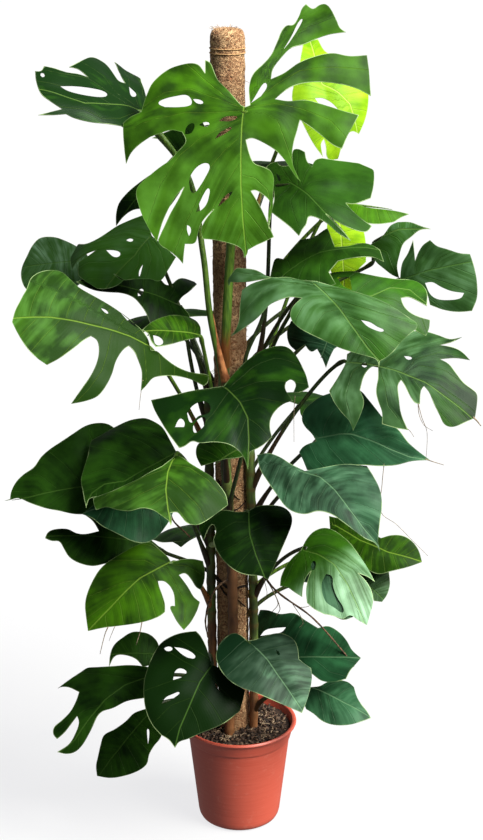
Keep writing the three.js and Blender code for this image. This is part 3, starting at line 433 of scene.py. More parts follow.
# Small pieces that a loop makes, each with its material
def smallPiece(name, points, faces, material):
    piece = newPiece(name, points, faces)
    piece.data.materials.append(material)
    return piece


# Coir pole, as in the part: it leans a little to the viewer's left
pole = {
    "radius": 30,
    "top": 1505,
    "foot": 12,
    "x": -9,
    "lean": 0.007,  # mm to -X for each mm of height
    "sides": 84,
    "rise": 5,  # mm between rings of points
    "roughness": 1.3,
    "bore": 14.6,  # radius of the hole for the stake
    "boreTop": 1480.6,
}


# The middle of the pole at a height
def poleCentre(z):
    return np.array([pole["x"] - pole["lean"] * z, 0, z])


# Stems, as in the part: each climbs the pole at its own bearing and swings a little from side to side. Wood
# is the height up to which its skin is old and brown.
stems = {
    "stem_front": {"bearing": 262, "foot": 60, "top": 960, "radius": 10, "wood": 640},
    "stem_right": {"bearing": 338, "foot": 60, "top": 900, "radius": 9, "wood": 300},
    "stem_left": {"bearing": 188, "foot": 60, "top": 875, "radius": 9, "wood": 420},
    "stem_back": {"bearing": 90, "foot": 60, "top": 1050, "radius": 9, "wood": 500},
}
climb = {
    "standoff": 1.2,
    "swing": 9,  # degrees round the pole to either side
    "wave": 130,  # mm of height for each radian of that swing
    "node": 62,  # mm between the rings where old leaves grew
    "swell": 0.13,  # how much thicker a ring is
    "thin": 0.92,  # the radius between rings, as a share
    "tip": (0.95, 0.85, 0.6),  # the last radii, as shares
    "turning": 160,  # mm over which green skin turns to wood
    "step": 6,
    "sides": 18,
}


# The middle of a stem at a height
def stemCentre(name, z):
    stem = stems[name]
    bearing = math.radians(stem["bearing"] + climb["swing"] * math.sin(z / climb["wave"] + stem["bearing"]))
    reach = pole["radius"] + climb["standoff"] + stem["radius"]
    return poleCentre(z) + np.array([math.cos(bearing), math.sin(bearing), 0]) * reach


# Leaves. at, tip, face, droop, fold, curl and half say how the blade hangs, as in the part. The blade's
# edge, holes, midrib and side veins are drawn on it from the camera, as pixels of the photograph, each
# outline in order round the leaf, with ! after a sharp corner. Tone says how light the leaf's green is:
# partly its own colour, partly painted shade on leaves that sit low or turn away from the key light and
# painted light on those that face it. The painted sheen says how much pale sheen is laid into its colour.
# Each is one value, or one at the base and one at the tip.
usual = {
    "slot": "leaf_dark",
    "stem": "stem_back",
    "tone": 0,
    "paintedSheen": 0,
    "quilt": 0.06,  # how far the tissue stands up between side veins, as a share of the space between them
    "stout": 1,
    "via": None,  # points that the petiole goes through
    "face": (0, -0.8, 0.6),
    "droop": 40,
    "fold": 5,
    "curl": 25,
    "wave": 3,  # mm that the edge waves
    "veins": 7,  # side veins on a half where none are drawn
    "reach": 1.4,  # how far across the outline is looked for, as a share of half
    "midrib": None,
    "ribs": (),
    "holes": (),
    "behind": None,  # a lobe that hangs behind the rest
    "relief": None,
}
leaves = {
    "top_front": {
        "slot": "leaf_bright", "tone": (-0.15, 0.3), "paintedSheen": (0, 0.05), "quilt": -0.1, "stem": "stem_front",
        "node": 925, "stout": 2.3, "via": [(-23, -58, 985), (-16, -48, 1110), (-6, -90, 1270)],
        "at": (10, -115, 1385), "tip": (10, -190, 1165), "face": (0, -0.95, 0.3), "droop": 30, "fold": 3,
        "curl": 14, "half": 215, "midrib": "244,107 242,125 241,150 241,185 243,220 246,250",
        "ribs": ["248,103 254,90 262,75 272,52 284,30", "249,103 262,93 270,72 283,48 300,30 325,20",
            "248,105 262,95 275,85 300,70 335,67 368,70", "248,107 275,103 300,108 330,120 348,140",
            "247,112 262,112 278,120 285,140 292,160", "242,175 255,178 268,190 271,210",
            "241,205 250,215 262,230", "242,106 222,94 203,78 190,66",
            "242,107 215,97 190,88 165,92 148,104", "242,110 215,112 185,112 155,118 128,128",
            "242,118 220,128 200,138 180,155 160,185 150,215",
            "242,135 225,150 212,165 200,195 185,225 175,250", "241,160 225,185 212,210 200,240",
            "241,195 230,210 220,235"],
        "edge": "245,107! 250,105! 249,88 253,74 263,64 271,55 277,42 282,30 287,25 293,25 299,16 302,8 "
        "306,4! 313,9 319,5 326,4 332,11 337,21 340,28 346,32! 331,34 318,38 305,44 291,48 281,58 273,69 "
        "271,79! 284,73 300,62 316,56 332,53 350,56 367,55! 369,70 370,84 371,96! 358,89 340,84 320,82 "
        "304,83 291,87 282,93 275,99! 288,101 306,100 328,106 344,111 359,115! 354,124 348,135 342,149! "
        "333,145 322,136 312,128 300,120! 297,131 293,146 292,158 294,168 301,182! 296,177 290,168 283,158 "
        "275,150 264,143 252,138 246,140! 249,152 254,163 264,167 271,171 274,179 273,192 273,205 271,216 "
        "269,228! 268,214 270,202 262,194 255,190 251,191! 256,199 262,210 268,223 274,237! 264,242 255,246 "
        "248,250! 247,255 244,258! 243,251 237,246 228,243 215,240 203,239! 201,232 203,224 208,216 214,209 "
        "202,222 198,233 195,243 185,244! 184,252 183,264! 178,258 168,250 160,245 158,240! 163,229 170,214 "
        "178,200 184,187! 176,196 167,212 161,227 157,242! 149,229 142,215 138,203 136,195 137,188 143,181 "
        "150,175 160,167 170,160 177,152! 182,147 186,141 182,132! 171,130 161,133 150,137! 140,144 131,153 "
        "126,164! 124,147 123,132 123,123! 130,117 141,112! 142,109! 144,102 147,94 151,85 158,77 169,69 "
        "180,65 192,63 199,65 205,73! 205,60! 210,62 214,71 218,80 227,89 234,97 241,105!",
        "holes": ["251,103! 256,95 262,85 266,82 267,87 261,96!",
            "283,50! 291,37 299,21 303,18 298,29 289,43!",
            "158,103 164,99 176,96 187,95 192,101 191,105 180,107 165,107!",
            "193,99! 198,99 204,102 203,104 196,103", "185,134! 185,130 188,125 194,123 194,129 190,134",
            "190,190! 189,180 194,170 201,164 208,163 210,167 206,176 200,186 193,194",
            "196,212! 200,202 205,192 209,188 209,196 206,205 200,211",
            "219,121! 224,117 234,116 238,117 231,121", "215,139! 219,133 226,129 232,127 226,133",
            "218,207! 222,199 229,193 233,191 228,198", "199,125! 204,122 210,123 207,127",
            "187,225! 190,226 191,232 189,236! 187,231"],
    },
    "upper_left": {
        "slot": "leaf_green", "tone": -0.6, "quilt": -0.1, "stem": "stem_front", "node": 830, "stout": 1.5,
        "via": [(-26, -66, 890), (-50, -62, 1020), (-62, -50, 1130), (-88, -25, 1260)],
        "at": (-165, -30, 1370), "tip": (-330, -110, 1420), "face": (-0.2, -0.6, 0.8), "fold": 6, "curl": 20,
        "half": 120, "midrib": "140,110 115,104 85,103 45,90",
        "ribs": ["139,108 130,85 113,55", "136,106 118,94 104,76 86,64", "126,103 105,89 87,77 60,73 45,70",
            "135,112 120,118 103,118 85,109 68,107"],
        "edge": "148,104! 146,96 143,86 138,75 131,66 125,58 118,53 110,51 104,53! 112,58 117,67 121,76 "
        "125,83! 119,81 113,73 107,65 100,60 92,57 85,59 69,67! 78,69 88,77! 79,74 66,72 54,68 44,66! 41,71 "
        "35,71! 36,81 41,94 50,101 62,109! 50,112 38,115! 52,115 66,114! 74,118 90,122 108,124 121,126! "
        "130,130 140,124!",
        "holes": ["60,86! 75,86 92,88 104,91 108,95 103,97 90,96 75,93 66,90",
            "129,86! 132,89 137,94 135,97 131,96", "40,73 44,73 45,77 42,78"],
    },
    "new_lime": {
        "slot": "leaf_new", "node": 1035, "at": (145, 90, 1405), "tip": (165, 60, 1275),
        "face": (0.3, -0.9, 0.3), "droop": 50, "fold": 14, "curl": 40, "half": 80, "wave": 5,
        "midrib": "310,41 316,62 322,84 338,92 350,104 356,125",
        "edge": "303,44! 310,41 318,39! 325,51 338,58 352,68 362,80 368,92 368,106 365,120 359,134! 352,131 "
        "345,138 338,159! 328,159 326,146 324,139! 321,144 323,157! 315,146 308,134 302,122 296,110 292,99 "
        "294,84 299,68!",
        "holes": ["315,98! 323,98 332,103 338,109! 328,108 319,104"],
    },
    "right_high": {
        "tone": 0.28, "quilt": -0.08, "stem": "stem_right", "node": 880, "at": (65, -60, 1250),
        "tip": (185, -140, 1170), "face": (0.1, -0.8, 0.6), "droop": 35, "half": 110,
        "midrib": "290,182 308,194 325,212 341,228 351,241",
        "ribs": ["300,188 315,180 340,178 372,182", "308,195 325,200 345,208 370,222",
            "296,186 285,172 280,164", "298,186 297,170 298,152", "301,188 306,172 311,164",
            "298,190 290,200 295,215 301,229", "290,186 278,198 272,205", "306,196 306,210 305,222"],
        "edge": "266,167! 271,163 277,162! 281,166 292,165! 293,150 299,149 305,152! 307,161 312,167! "
        "315,160 322,158! 335,160 350,162 364,164 374,168! 374,183 371,198! 363,201 354,204 346,203! "
        "352,210 362,219 372,226! 366,232 350,228 336,221 326,214! 336,224 345,233 351,241! 338,233 325,222 "
        "309,216 307,223 302,230! 299,236! 290,227 280,219 271,212! 274,200 273,188 269,176",
        "holes": ["276,173! 280,177 281,182 278,180"],
    },
    "right_arch": {
        "tone": 0.1, "stem": "stem_front", "node": 790,
        "via": [(2, -60, 835), (12, -76, 950), (40, -78, 1020)], "at": (60, -75, 1104),
        "tip": (270, -110, 1100), "face": (0, -0.5, 0.85), "droop": 60, "half": 80, "reach": 2.1,
        "midrib": "282,277 300,263 322,252 350,248 378,250",
        "edge": "270,278! 272,268 276,258 285,259 291,250 298,243! 302,232 307,222! 311,212! 321,212! "
        "325,222 330,234 335,247! 348,246! 362,243 372,245 380,250! 384,262! 372,257 352,258 338,261! "
        "329,272! 336,284! 318,290 300,290 286,284!",
    },
    "mid_lime": {
        "slot": "leaf_new", "node": 640, "at": (180, 115, 1172), "tip": (193, 105, 1017),
        "face": (0.1, -0.95, 0.2), "droop": 30, "half": 40,
        "edge": "330,206! 345,205 356,214 363,228 366,245 366,262! 358,270 353,278 354,294! 342,293 333,278 "
        "329,262 327,245 327,225",
    },
    "glossy": {
        "slot": "leaf_green", "tone": 0.22, "paintedSheen": (0.2, 0), "stem": "stem_right", "node": 780,
        "via": [(40, -20, 890), (62, -26, 960), (90, -115, 1045)], "at": (110, -190, 1115),
        "tip": (225, -300, 1000), "face": (-0.1, -0.8, 0.6), "half": 110,
        "midrib": "315,284 327,295 340,309 350,323 360,337 368,348 377,358",
        "ribs": ["318,286 300,283 280,284 262,292 245,310", "316,285 300,281 270,277 235,272 208,264",
            "325,297 312,299 303,306 297,318", "340,309 325,312 315,325 312,332", "352,326 345,335 340,346",
            "362,340 358,348 355,354", "320,287 350,291 372,300 395,308", "330,298 355,306 380,313 412,322",
            "345,315 370,325 395,340", "357,332 370,340 385,357"],
        "edge": "316,281! 330,285 345,289 360,293 378,299 395,308 411,319! 417,323 417,328 411,333 402,341 "
        "393,352 384,359 380,361! 379,367! 377,360 370,357 355,353 340,348 325,341 308,333 298,327 291,319 "
        "291,310 296,303 302,298! 290,297 279,300 269,305 262,313 256,319 244,328 229,338! 236,329 239,320 "
        "240,305 242,290! 251,284 262,280 270,278! 258,280 245,282 230,282! 229,286! 225,277 218,271 "
        "207,263! 222,267 240,268 256,270 270,277 288,277 302,280",
        "holes": ["361,320! 370,322 378,327 385,330 383,332 375,330 367,326"],
    },
    "glossy_behind": {
        "slot": "leaf_green", "tone": 0.2, "node": 770, "at": (135, -80, 1090), "tip": (320, -140, 1010),
        "face": (0.1, -0.6, 0.8), "half": 100, "midrib": "340,300 372,296 390,288 410,290 426,303",
        "ribs": ["372,296 395,300 420,315 427,333", "350,298 365,285 375,278"],
        "edge": "314,281! 322,276 336,272 352,271! 366,274 382,277 398,279 412,280 421,284 427,292 427,306! "
        "418,301 409,297 401,298! 404,306 411,313 420,317 430,320! 429,329 426,336! 418,332 410,326 395,318 "
        "375,310 352,302 330,294",
        "holes": ["337,277! 350,277! 352,290! 343,286"],
    },
    "far_right": {
        "tone": 0.3, "paintedSheen": (0.1, 0.14), "node": 825, "at": (295, 10, 1070), "tip": (415, -30, 1070),
        "face": (0.1, -0.95, 0.3), "droop": 25, "fold": 3, "curl": 15, "half": 75,
        "midrib": "402,279 415,275 430,270 445,267 470,262",
        "ribs": ["415,275 418,262 430,245", "432,270 440,258 452,252", "420,275 445,282 470,292",
            "410,279 425,295 445,310"],
        "edge": "400,280! 401,268 403,261 407,255 410,248 413,240! 414,250 415,261! 418,253 423,245 "
        "430,240! 437,246 447,249 459,253 470,254! 474,266 477,282 477,298 472,311! 458,312 444,310 "
        "430,305! 427,294 420,286 409,281",
        "holes": ["425,283! 432,282 441,287 451,291 464,293! 461,298 449,300 437,299 430,294"],
    },
    "far_right_up": {
        "slot": "leaf_green", "tone": 0.5, "paintedSheen": (0.05, 0.16), "node": 870, "at": (240, 60, 1090),
        "tip": (340, 40, 1155), "face": (-0.3, -0.85, 0.4), "droop": 30, "curl": 20, "half": 60,
        "midrib": "371,243 385,235 400,229 431,229",
        "ribs": ["372,245 388,252 397,275"],
        "edge": "371,244! 379,240 385,233 391,225 398,222! 410,222 421,226 431,229! 420,230 411,237 403,244 "
        "398,260! 397,267 399,278! 392,275 383,268 376,262 372,254",
    },
    "right_hanging": {
        "slot": "leaf_green", "tone": (0.2, -0.5), "paintedSheen": (0.26, -0.1), "quilt": -0.08,
        "stem": "stem_right", "node": 680, "at": (185, -60, 940), "tip": (415, -140, 845),
        "face": (0.1, -0.8, 0.6), "half": 110,
        "midrib": "345,362 370,364 395,370 410,376 425,382 450,400 473,419",
        "ribs": ["362,364 352,372 345,395 352,428", "378,366 385,385 388,405 405,427",
            "398,371 405,382 412,400 419,417", "412,377 425,395 440,412 452,425",
            "405,373 415,360 440,352 468,358", "380,366 400,352 420,345", "402,372 420,365 445,370 475,392"],
        "edge": "347,354! 360,347 380,344 400,338 412,331! 424,331 438,335 450,339 462,337! 452,342 "
        "440,345! 452,347 461,351 470,360! 456,358 440,359! 449,364 456,373 464,383 472,389 477,394 477,404 "
        "475,418! 466,422 457,426 450,427 444,424 440,416 434,404 429,392 424,386! 421,390 420,404! 415,403 "
        "409,394 404,384 401,380! 398,385 399,398 401,413 408,430! 396,428 382,424! 382,412 378,401 376,391 "
        "378,378 378,366! 371,367 364,376 360,390! 364,402 360,416 353,431! 350,422 342,413 334,402 "
        "329,391! 335,382 341,372 346,362",
        "holes": ["404,356! 408,356 413,358 408,360", "361,364! 365,362 368,365 364,368"],
    },
    "heart_right_upper": {
        "slot": "leaf_blue", "tone": 0.15, "paintedSheen": (0.02, 0.05), "stem": "stem_right", "node": 620,
        "at": (140, -90, 805), "tip": (325, -170, 795), "face": (0, -0.75, 0.65), "fold": 8, "half": 90,
        "midrib": "318,438 340,434 352,434 370,440 390,449 410,457 429,460",
        "ribs": ["322,437 325,425 340,405 350,393", "345,434 352,418 362,400", "350,434 370,428 390,428",
            "372,441 390,436 405,443", "325,437 330,448 345,464", "350,435 365,447 385,465",
            "375,443 395,455 410,461", "320,438 310,430 303,418"],
        "edge": "316,441! 312,434 306,428 302,421 303,412 310,404 322,396 340,391 359,390 368,399 376,409 "
        "386,421 398,429 408,442 418,451 430,460! 412,461 396,465 380,466 362,465 346,466 328,470 307,470! "
        "303,460 299,452! 304,446",
    },
    "heart_right_mid": {
        "slot": "leaf_blue", "tone": -0.15, "paintedSheen": (0.14, 0.08), "stem": "stem_right", "node": 580,
        "at": (135, -180, 770), "tip": (235, -260, 670), "face": (0.1, -0.75, 0.65), "fold": 8, "half": 95,
        "midrib": "300,471 320,477 335,490 350,510 365,530 378,545",
        "ribs": ["315,476 340,468 362,468", "330,485 350,480 375,485", "345,502 362,505 380,512",
            "358,520 370,525 378,535", "312,475 305,488 300,510", "328,484 318,500 318,511",
            "342,498 335,510 338,518"],
        "edge": "305,471! 320,468 345,464 367,466! 374,477 380,490 382,505 380,522 378,541! 380,552! "
        "375,543 366,539 355,531 343,522 331,514 318,511 306,514 294,512 285,506 277,495 268,482 260,469 "
        "257,455! 268,453 280,457 291,464",
    },
    "heart_right_back": {
        "slot": "leaf_bright", "tone": -0.35, "node": 400, "at": (195, 30, 550), "tip": (340, 0, 530),
        "face": (0.1, -0.8, 0.6), "droop": 35, "fold": 8, "half": 55,
        "midrib": "335,525 360,540 388,552 420,561",
        "edge": "329,516! 345,520 365,530 381,538! 392,535 404,536 413,542 419,551 422,562! 408,567 392,571 "
        "378,574 366,568 356,556 344,540 330,529!",
    },
    "right_low_cut": {
        "slot": "leaf_green", "tone": 0.3, "paintedSheen": (-0.3, 1.2), "quilt": -0.08, "stem": "stem_right",
        "node": 460, "at": (120, -120, 610), "tip": (220, -220, 510), "face": (0.1, -0.7, 0.7), "droop": 45,
        "curl": 30, "half": 90, "midrib": "303,550 318,554 334,564 348,585 364,622",
        "ribs": ["305,549 325,545 345,555 372,580", "320,556 335,558 355,570 368,600",
            "301,551 290,570 283,585", "303,551 307,565 301,594", "308,553 314,570 314,606",
            "330,561 330,580 340,610"],
        "edge": "301,550! 306,540 313,532 322,528 331,529 341,535 351,544 359,555 367,567 375,582! 368,577 "
        "358,573! 366,581 372,592 373,603 370,614 367,625! 358,620 350,615 343,619 334,616 324,614! 314,609 "
        "307,603! 306,591 308,579 311,571! 306,577 303,586 302,597! 294,592 287,587 280,586! 281,577 "
        "286,566 293,557",
        "holes": ["326,574! 332,576 333,586 337,597 343,607 343,613 335,608 326,602 322,591 322,582",
            "311,567! 312,561 315,560 316,565 313,571"],
        "behind": {
            "slot": "leaf_blue", "tone": -0.2, "paintedSheen": 0.1,
            "edge": "301,562! 312,558 330,564 342,578 348,598 353,617! 344,620 334,616 324,611 317,602 "
            "314,592 309,583 302,582!",
        },
    },
    "right_low_dark": {
        "paintedSheen": (0.05, 0.18), "node": 360, "at": (220, 20, 495), "tip": (275, 0, 450),
        "face": (0.2, -0.8, 0.5), "droop": 30, "curl": 20, "half": 45,
        "edge": "356,566! 372,565 389,572! 390,584 387,595 382,602! 374,601! 370,590 362,580",
    },
    "heart_pot": {
        "slot": "leaf_blue", "tone": (-0.9, 0), "paintedSheen": (0, 0.32), "stem": "stem_front", "node": 280,
        "at": (15, -170, 450), "tip": (110, -260, 360), "face": (0.1, -0.7, 0.7), "fold": 8, "half": 90,
        "midrib": "256,648 268,660 278,675 290,692 302,710",
        "ribs": ["258,648 245,660 228,675", "268,660 262,675 250,690", "279,676 272,688 268,697",
            "262,651 275,648 292,645", "270,662 285,660 298,662", "281,678 295,675 310,678",
            "292,694 300,690 308,690"],
        "edge": "247,641! 242,636 234,633 226,637 219,645 216,656 219,667 228,679 240,687 254,692 268,698 "
        "284,705 302,713! 306,703 310,690 312,677 311,668! 305,664 299,659! 298,649 295,641 289,636 280,633 "
        "268,635 257,639",
        "holes": ["276,650! 279,651 280,656 276,653"],
    },
    "right_low_long": {
        "slot": "leaf_blue", "stem": "stem_right", "node": 270, "at": (85, -70, 375),
        "tip": (220, -120, 390), "face": (0.1, -0.8, 0.6), "droop": 35, "fold": 6, "curl": 20, "half": 75,
        "midrib": "300,657 325,657 345,657 360,658",
        "ribs": ["303,657 308,645 315,632", "320,657 330,645 335,632", "312,657 322,665 330,672 345,676",
            "335,657 345,650 350,645"],
        "edge": "244,638! 243,628 247,617 255,611 267,610 280,614 294,613 305,620 318,628! 328,626 339,632 "
        "347,641 352,650 361,658! 355,665 350,671 346,679! 334,682 322,681 312,674! 300,672 285,668 268,660 "
        "252,648",
        "holes": ["260,636! 265,630 274,628 286,627! 282,632 272,634"],
    },
    "right_low_pot": {
        "slot": "leaf_blue", "tone": -0.05, "paintedSheen": (0.02, 0.08), "stem": "stem_right", "node": 225,
        "at": (135, -90, 315), "tip": (235, -150, 285), "face": (0.2, -0.7, 0.7), "fold": 6, "half": 60,
        "midrib": "311,687 328,694 345,703 370,717",
        "ribs": ["327,693 330,705 335,722", "318,690 322,705 325,720", "338,699 348,710 355,722",
            "322,690 330,685 343,681", "335,697 345,690 353,687", "350,706 356,702 360,703"],
        "edge": "311,687! 320,686 327,682 338,680 348,682 354,687! 357,697 362,705 367,711 371,718! 360,722 "
        "348,725 334,725 322,721 314,714 306,709! 303,700 306,692",
    },
    "centre": {
        "slot": "leaf_green", "tone": -0.35, "stem": "stem_front", "node": 700, "at": (-25, -150, 915),
        "tip": (10, -260, 810), "face": (0, -0.8, 0.6), "fold": 6, "half": 150,
        "midrib": "226,388 240,402 248,418 249,440 248,468",
        "ribs": ["223,388 200,391 175,395 152,401", "228,392 215,412 198,432 181,447",
            "240,403 228,425 213,442", "247,417 240,435 236,447", "230,388 250,370 275,358 300,365",
            "232,391 255,383 275,381 305,384", "240,402 260,398 280,402", "248,418 258,425 268,436"],
        "edge": "224,386! 210,388 190,391 170,396 151,400! 154,409 160,420 168,433 179,448! 185,446 192,441 "
        "200,443 214,442 228,444 238,450 244,458 248,470! 249,461 250,452! 260,447 268,441 272,437! 270,428 "
        "271,418 277,409 285,403 293,401! 288,394 285,388 286,382! 291,379 296,384 293,393! 301,392 "
        "309,387! 306,375 301,364 295,354 287,347 276,346 263,350 250,358 240,367 231,377",
        "holes": ["175,427! 178,420 181,418 185,423 184,427!",
            "187,413! 193,405 204,401 210,405 209,413 198,416 191,423",
            "193,426! 197,420 205,417 205,424 200,430 194,433"],
    },
    "left_front": {
        "slot": "leaf_bright", "tone": -0.38, "paintedSheen": (0, 0.03), "stem": "stem_front", "node": 590,
        "at": (-105, -200, 820), "tip": (-110, -330, 740), "face": (0, -0.75, 0.65), "droop": 45, "curl": 35,
        "half": 120, "midrib": "173,460 168,472 166,490 168,508 171,524",
        "ribs": ["168,468 150,475 130,485 100,500", "166,482 150,490 130,500 112,508",
            "166,495 155,503 145,508", "171,465 190,468 210,482 226,500", "167,478 182,490 200,508 205,520",
            "167,495 175,505 185,518"],
        "edge": "176,455! 162,466 150,472 138,479 125,485 112,491 93,498! 94,505 96,510! 106,507 118,510 "
        "130,511 142,508 153,510 162,516 169,521! 171,526! 172,520 170,513! 177,512 181,516 187,523 197,525 "
        "206,521 216,514 228,505! 226,495 220,486 212,477 203,471 190,463 182,457",
    },
    "heart_left": {
        "stem": "stem_left", "node": 600, "at": (-110, -110, 785), "tip": (-265, -160, 710),
        "face": (-0.2, -0.7, 0.7), "droop": 45, "fold": 6, "curl": 30, "half": 90,
        "midrib": "177,452 155,464 140,472 125,481 105,484 92,493 86,506",
        "ribs": ["165,458 140,441 112,432", "150,467 125,455 97,447", "135,477 110,468 85,475",
            "152,467 152,475 150,482"],
        "edge": "177,453! 170,440 163,428 155,422 145,418 133,418 120,420 108,424 98,431 91,441 88,455 "
        "84,468 81,480 83,492 86,508! 89,499 96,497 112,496 135,492 155,482 168,470",
    },
    "heart_far_left": {
        "stem": "stem_left", "node": 560, "at": (-205, -30, 760), "tip": (-410, -80, 685),
        "face": (-0.1, -0.8, 0.6), "droop": 30, "curl": 20, "half": 90,
        "midrib": "122,480 100,484 80,487 55,491 30,497 6,501",
        "ribs": ["110,482 95,455 90,427", "85,487 65,465 50,452", "60,491 40,475 28,475",
            "100,485 85,500 75,513", "70,490 55,500 45,507"],
        "edge": "126,450! 118,432 108,424 96,423 85,426 74,433 62,441 50,449 41,457 34,467 24,474 16,482 "
        "11,492 10,499! 4,501! 10,500 18,498 30,503 45,508 60,511 74,514 88,514 102,512 115,502 124,480",
    },
    "left_blue": {
        "slot": "leaf_blue", "stem": "stem_left", "node": 520, "at": (-115, -90, 705),
        "tip": (-275, -130, 680), "face": (-0.1, -0.7, 0.7), "droop": 30, "curl": 20, "half": 65,
        "edge": "176,492! 160,488 140,488 118,494 98,502 82,514! 92,518 102,526 112,531! 122,536 132,541 "
        "143,543 151,541 159,535 166,526 171,518 175,505",
    },
    "left_low_bright": {
        "slot": "leaf_bright", "tone": -0.15, "quilt": -0.05, "stem": "stem_left", "node": 440,
        "at": (-120, -130, 585), "tip": (-265, -200, 485), "droop": 35, "curl": 20, "half": 100,
        "midrib": "170,562 155,570 140,578 125,592 110,608 90,629",
        "ribs": ["140,580 125,582 105,590", "125,594 112,600 95,612", "160,568 145,560 125,560",
            "152,573 158,585 162,600", "142,580 150,595 155,612", "133,587 138,605 140,618",
            "166,566 176,585 186,605 183,625", "169,564 188,566 203,575"],
        "edge": "171,562! 168,557 158,548 150,542 137,545 122,553 109,561 100,569 93,580 87,594 85,605 "
        "86,617 88,631! 102,628 118,626 133,624 147,621 160,616 165,612! 165,604 162,594 159,586 158,581! "
        "164,581 170,586 174,594 175,606! 170,606 173,614 178,623 184,630! 191,622 197,611 200,602! 194,597 "
        "188,587 183,580 179,575! 185,573 191,579 196,587 201,590! 204,582 205,572 203,561! 194,559 184,559",
    },
    "left_low_dark": {
        "node": 420, "at": (-145, -50, 580), "tip": (-345, -80, 615), "face": (-0.1, -0.6, 0.8), "curl": 20,
        "half": 60,
        "edge": "161,548! 148,538 130,530 115,522 100,515 84,514! 93,521 99,531! 85,534 76,533 68,529 "
        "56,529 48,532 45,538! 52,541 59,541 64,549 69,557 79,563 93,566 108,563 130,562 150,558",
    },
    "heart_centre": {
        "tone": -0.55, "stem": "stem_front", "node": 540, "at": (15, -150, 690), "tip": (50, -220, 595),
        "fold": 8, "half": 70, "midrib": "249,513 249,520 250,535 256,555 264,575",
        "ribs": ["250,522 235,522 222,530", "250,535 235,545 220,552", "253,548 242,560 235,570",
            "249,518 265,510 285,510", "250,532 268,525 290,525", "253,545 268,545 282,545",
            "258,560 268,560 275,562"],
        "edge": "248,511! 258,506 270,505 283,507 291,514 292,523 287,537 281,551 275,565 268,580! 261,576 "
        "248,575 236,571 225,562 217,551 213,540! 216,530 212,524 203,541! 199,528 201,518 212,511 226,510 "
        "238,512",
    },
    "pot_front": {
        "tone": -0.8, "stem": "stem_left", "node": 310, "at": (-50, -170, 405), "tip": (-110, -270, 290),
        "half": 90, "midrib": "212,665 200,682 190,705 180,728 175,748",
        "ribs": ["205,674 185,662 160,648", "200,682 175,680 147,690", "193,697 172,705 155,722",
            "207,672 222,690 240,708", "198,688 212,705 222,722", "190,705 197,720 200,732"],
        "edge": "212,665! 209,655 205,644 200,635 196,631! 186,632 177,634 168,638 160,644 153,655 148,667 "
        "144,682 144,700 147,714 153,726 161,735! 169,740 175,748! 179,742 188,739 201,733 214,728 226,722 "
        "240,711! 243,700 245,690! 237,685 227,676 218,667",
        "holes": ["164,648! 168,646 173,648 171,651 166,651",
            "174,647! 182,648 190,651 196,657 192,659 183,655", "173,680! 175,671 180,668 187,672 182,677",
            "161,704! 166,697 173,694 180,692 175,697 168,702", "215,683! 218,686 220,691! 217,688"],
    },
    "pot_left_long": {
        "tone": -0.15, "stem": "stem_left", "node": 260, "at": (-145, -90, 340), "tip": (-335, -150, 215),
        "face": (-0.2, -0.8, 0.6), "droop": 35, "half": 75,
        "midrib": "163,678 145,678 125,685 105,700 90,718 75,740 60,752",
        "ribs": ["140,679 110,675 80,672 60,686", "100,705 85,710 65,725"],
        "edge": "163,676! 155,669 142,666 128,665 114,666 98,667 85,668 74,673 65,680 57,687! 68,687 "
        "79,692! 76,701 70,712 61,721 54,727 53,734 57,739! 64,733 71,724 77,716! 79,722 76,732 69,744 "
        "57,752! 66,754 75,752 83,744 91,730 100,713 113,708 127,701 144,698! 152,692 160,685",
    },
    "pot_left_low": {
        "stem": "stem_left", "node": 222, "at": (-155, -50, 260), "tip": (-265, -90, 130),
        "face": (-0.2, -0.8, 0.5), "droop": 35, "half": 60,
        "edge": "157,705! 145,709 134,713 126,721 115,729 104,735 101,743 98,756 96,766 97,776! 110,778 "
        "124,776 138,771 147,764 149,755 154,746 161,737 163,722",
        "holes": ["147,728 149,729 149,738 148,744!"],
    },
    "pot_left_back": {
        "node": 235, "at": (-150, -20, 350), "tip": (-245, -30, 355), "face": (-0.1, -0.7, 0.7), "droop": 30,
        "curl": 20, "half": 45,
        "edge": "160,655! 158,643 151,635 142,632 132,632 122,638 114,645 110,655 109,667! 115,656 125,655 "
        "136,659 143,667! 152,664",
    },
    "left_big": {
        "slot": "leaf_bright", "tone": (-1, -0.16), "paintedSheen": (0, 0.04), "quilt": -0.03, "stem": "stem_left",
        "node": 745, "at": (-150, -150, 990), "tip": (-375, -200, 1050), "face": (-0.1, -0.75, 0.65),
        "half": 110, "midrib": "147,345 130,336 105,328 80,322 50,317 15,318",
        "ribs": ["90,325 75,340 60,358 47,364", "60,320 45,335 32,350",
            "112,330 108,350 102,370 88,390 74,403", "143,342 146,360 146,385",
            "148,346 165,360 185,372 205,376"],
        "edge": "151,350! 148,339 141,329 131,321 120,312 108,304 94,296 80,288 70,279 62,272 52,270 40,272 "
        "31,278 27,288 21,299 15,311 12,322! 18,334 27,348 37,358 47,365! 60,358 74,348 84,340 91,336! "
        "97,340 99,350 97,362 91,375 82,388 71,404! 86,401 98,396 106,386 112,374 116,361 123,350 129,346! "
        "134,351 139,362 142,372 141,391! 146,386 153,378 162,376 175,376 190,379 204,386! 212,378 205,374! "
        "190,372 176,366 165,358 157,351",
        "holes": ["101,308! 105,309 109,314 104,312", "120,312! 127,317 134,323 138,328! 131,324"],
    },
    "left_back_round": {
        "tone": 0.8, "paintedSheen": 0.28, "node": 800, "at": (-260, 60, 1090), "tip": (-385, 55, 1080),
        "face": (-0.2, -0.8, 0.5), "droop": 30, "curl": 20, "half": 60,
        "edge": "92,266! 86,253 76,246 66,241 54,237 40,238 32,246 27,256 22,267 21,277 25,288 32,292 "
        "48,296 66,292 82,282",
    },
    "left_upper": {
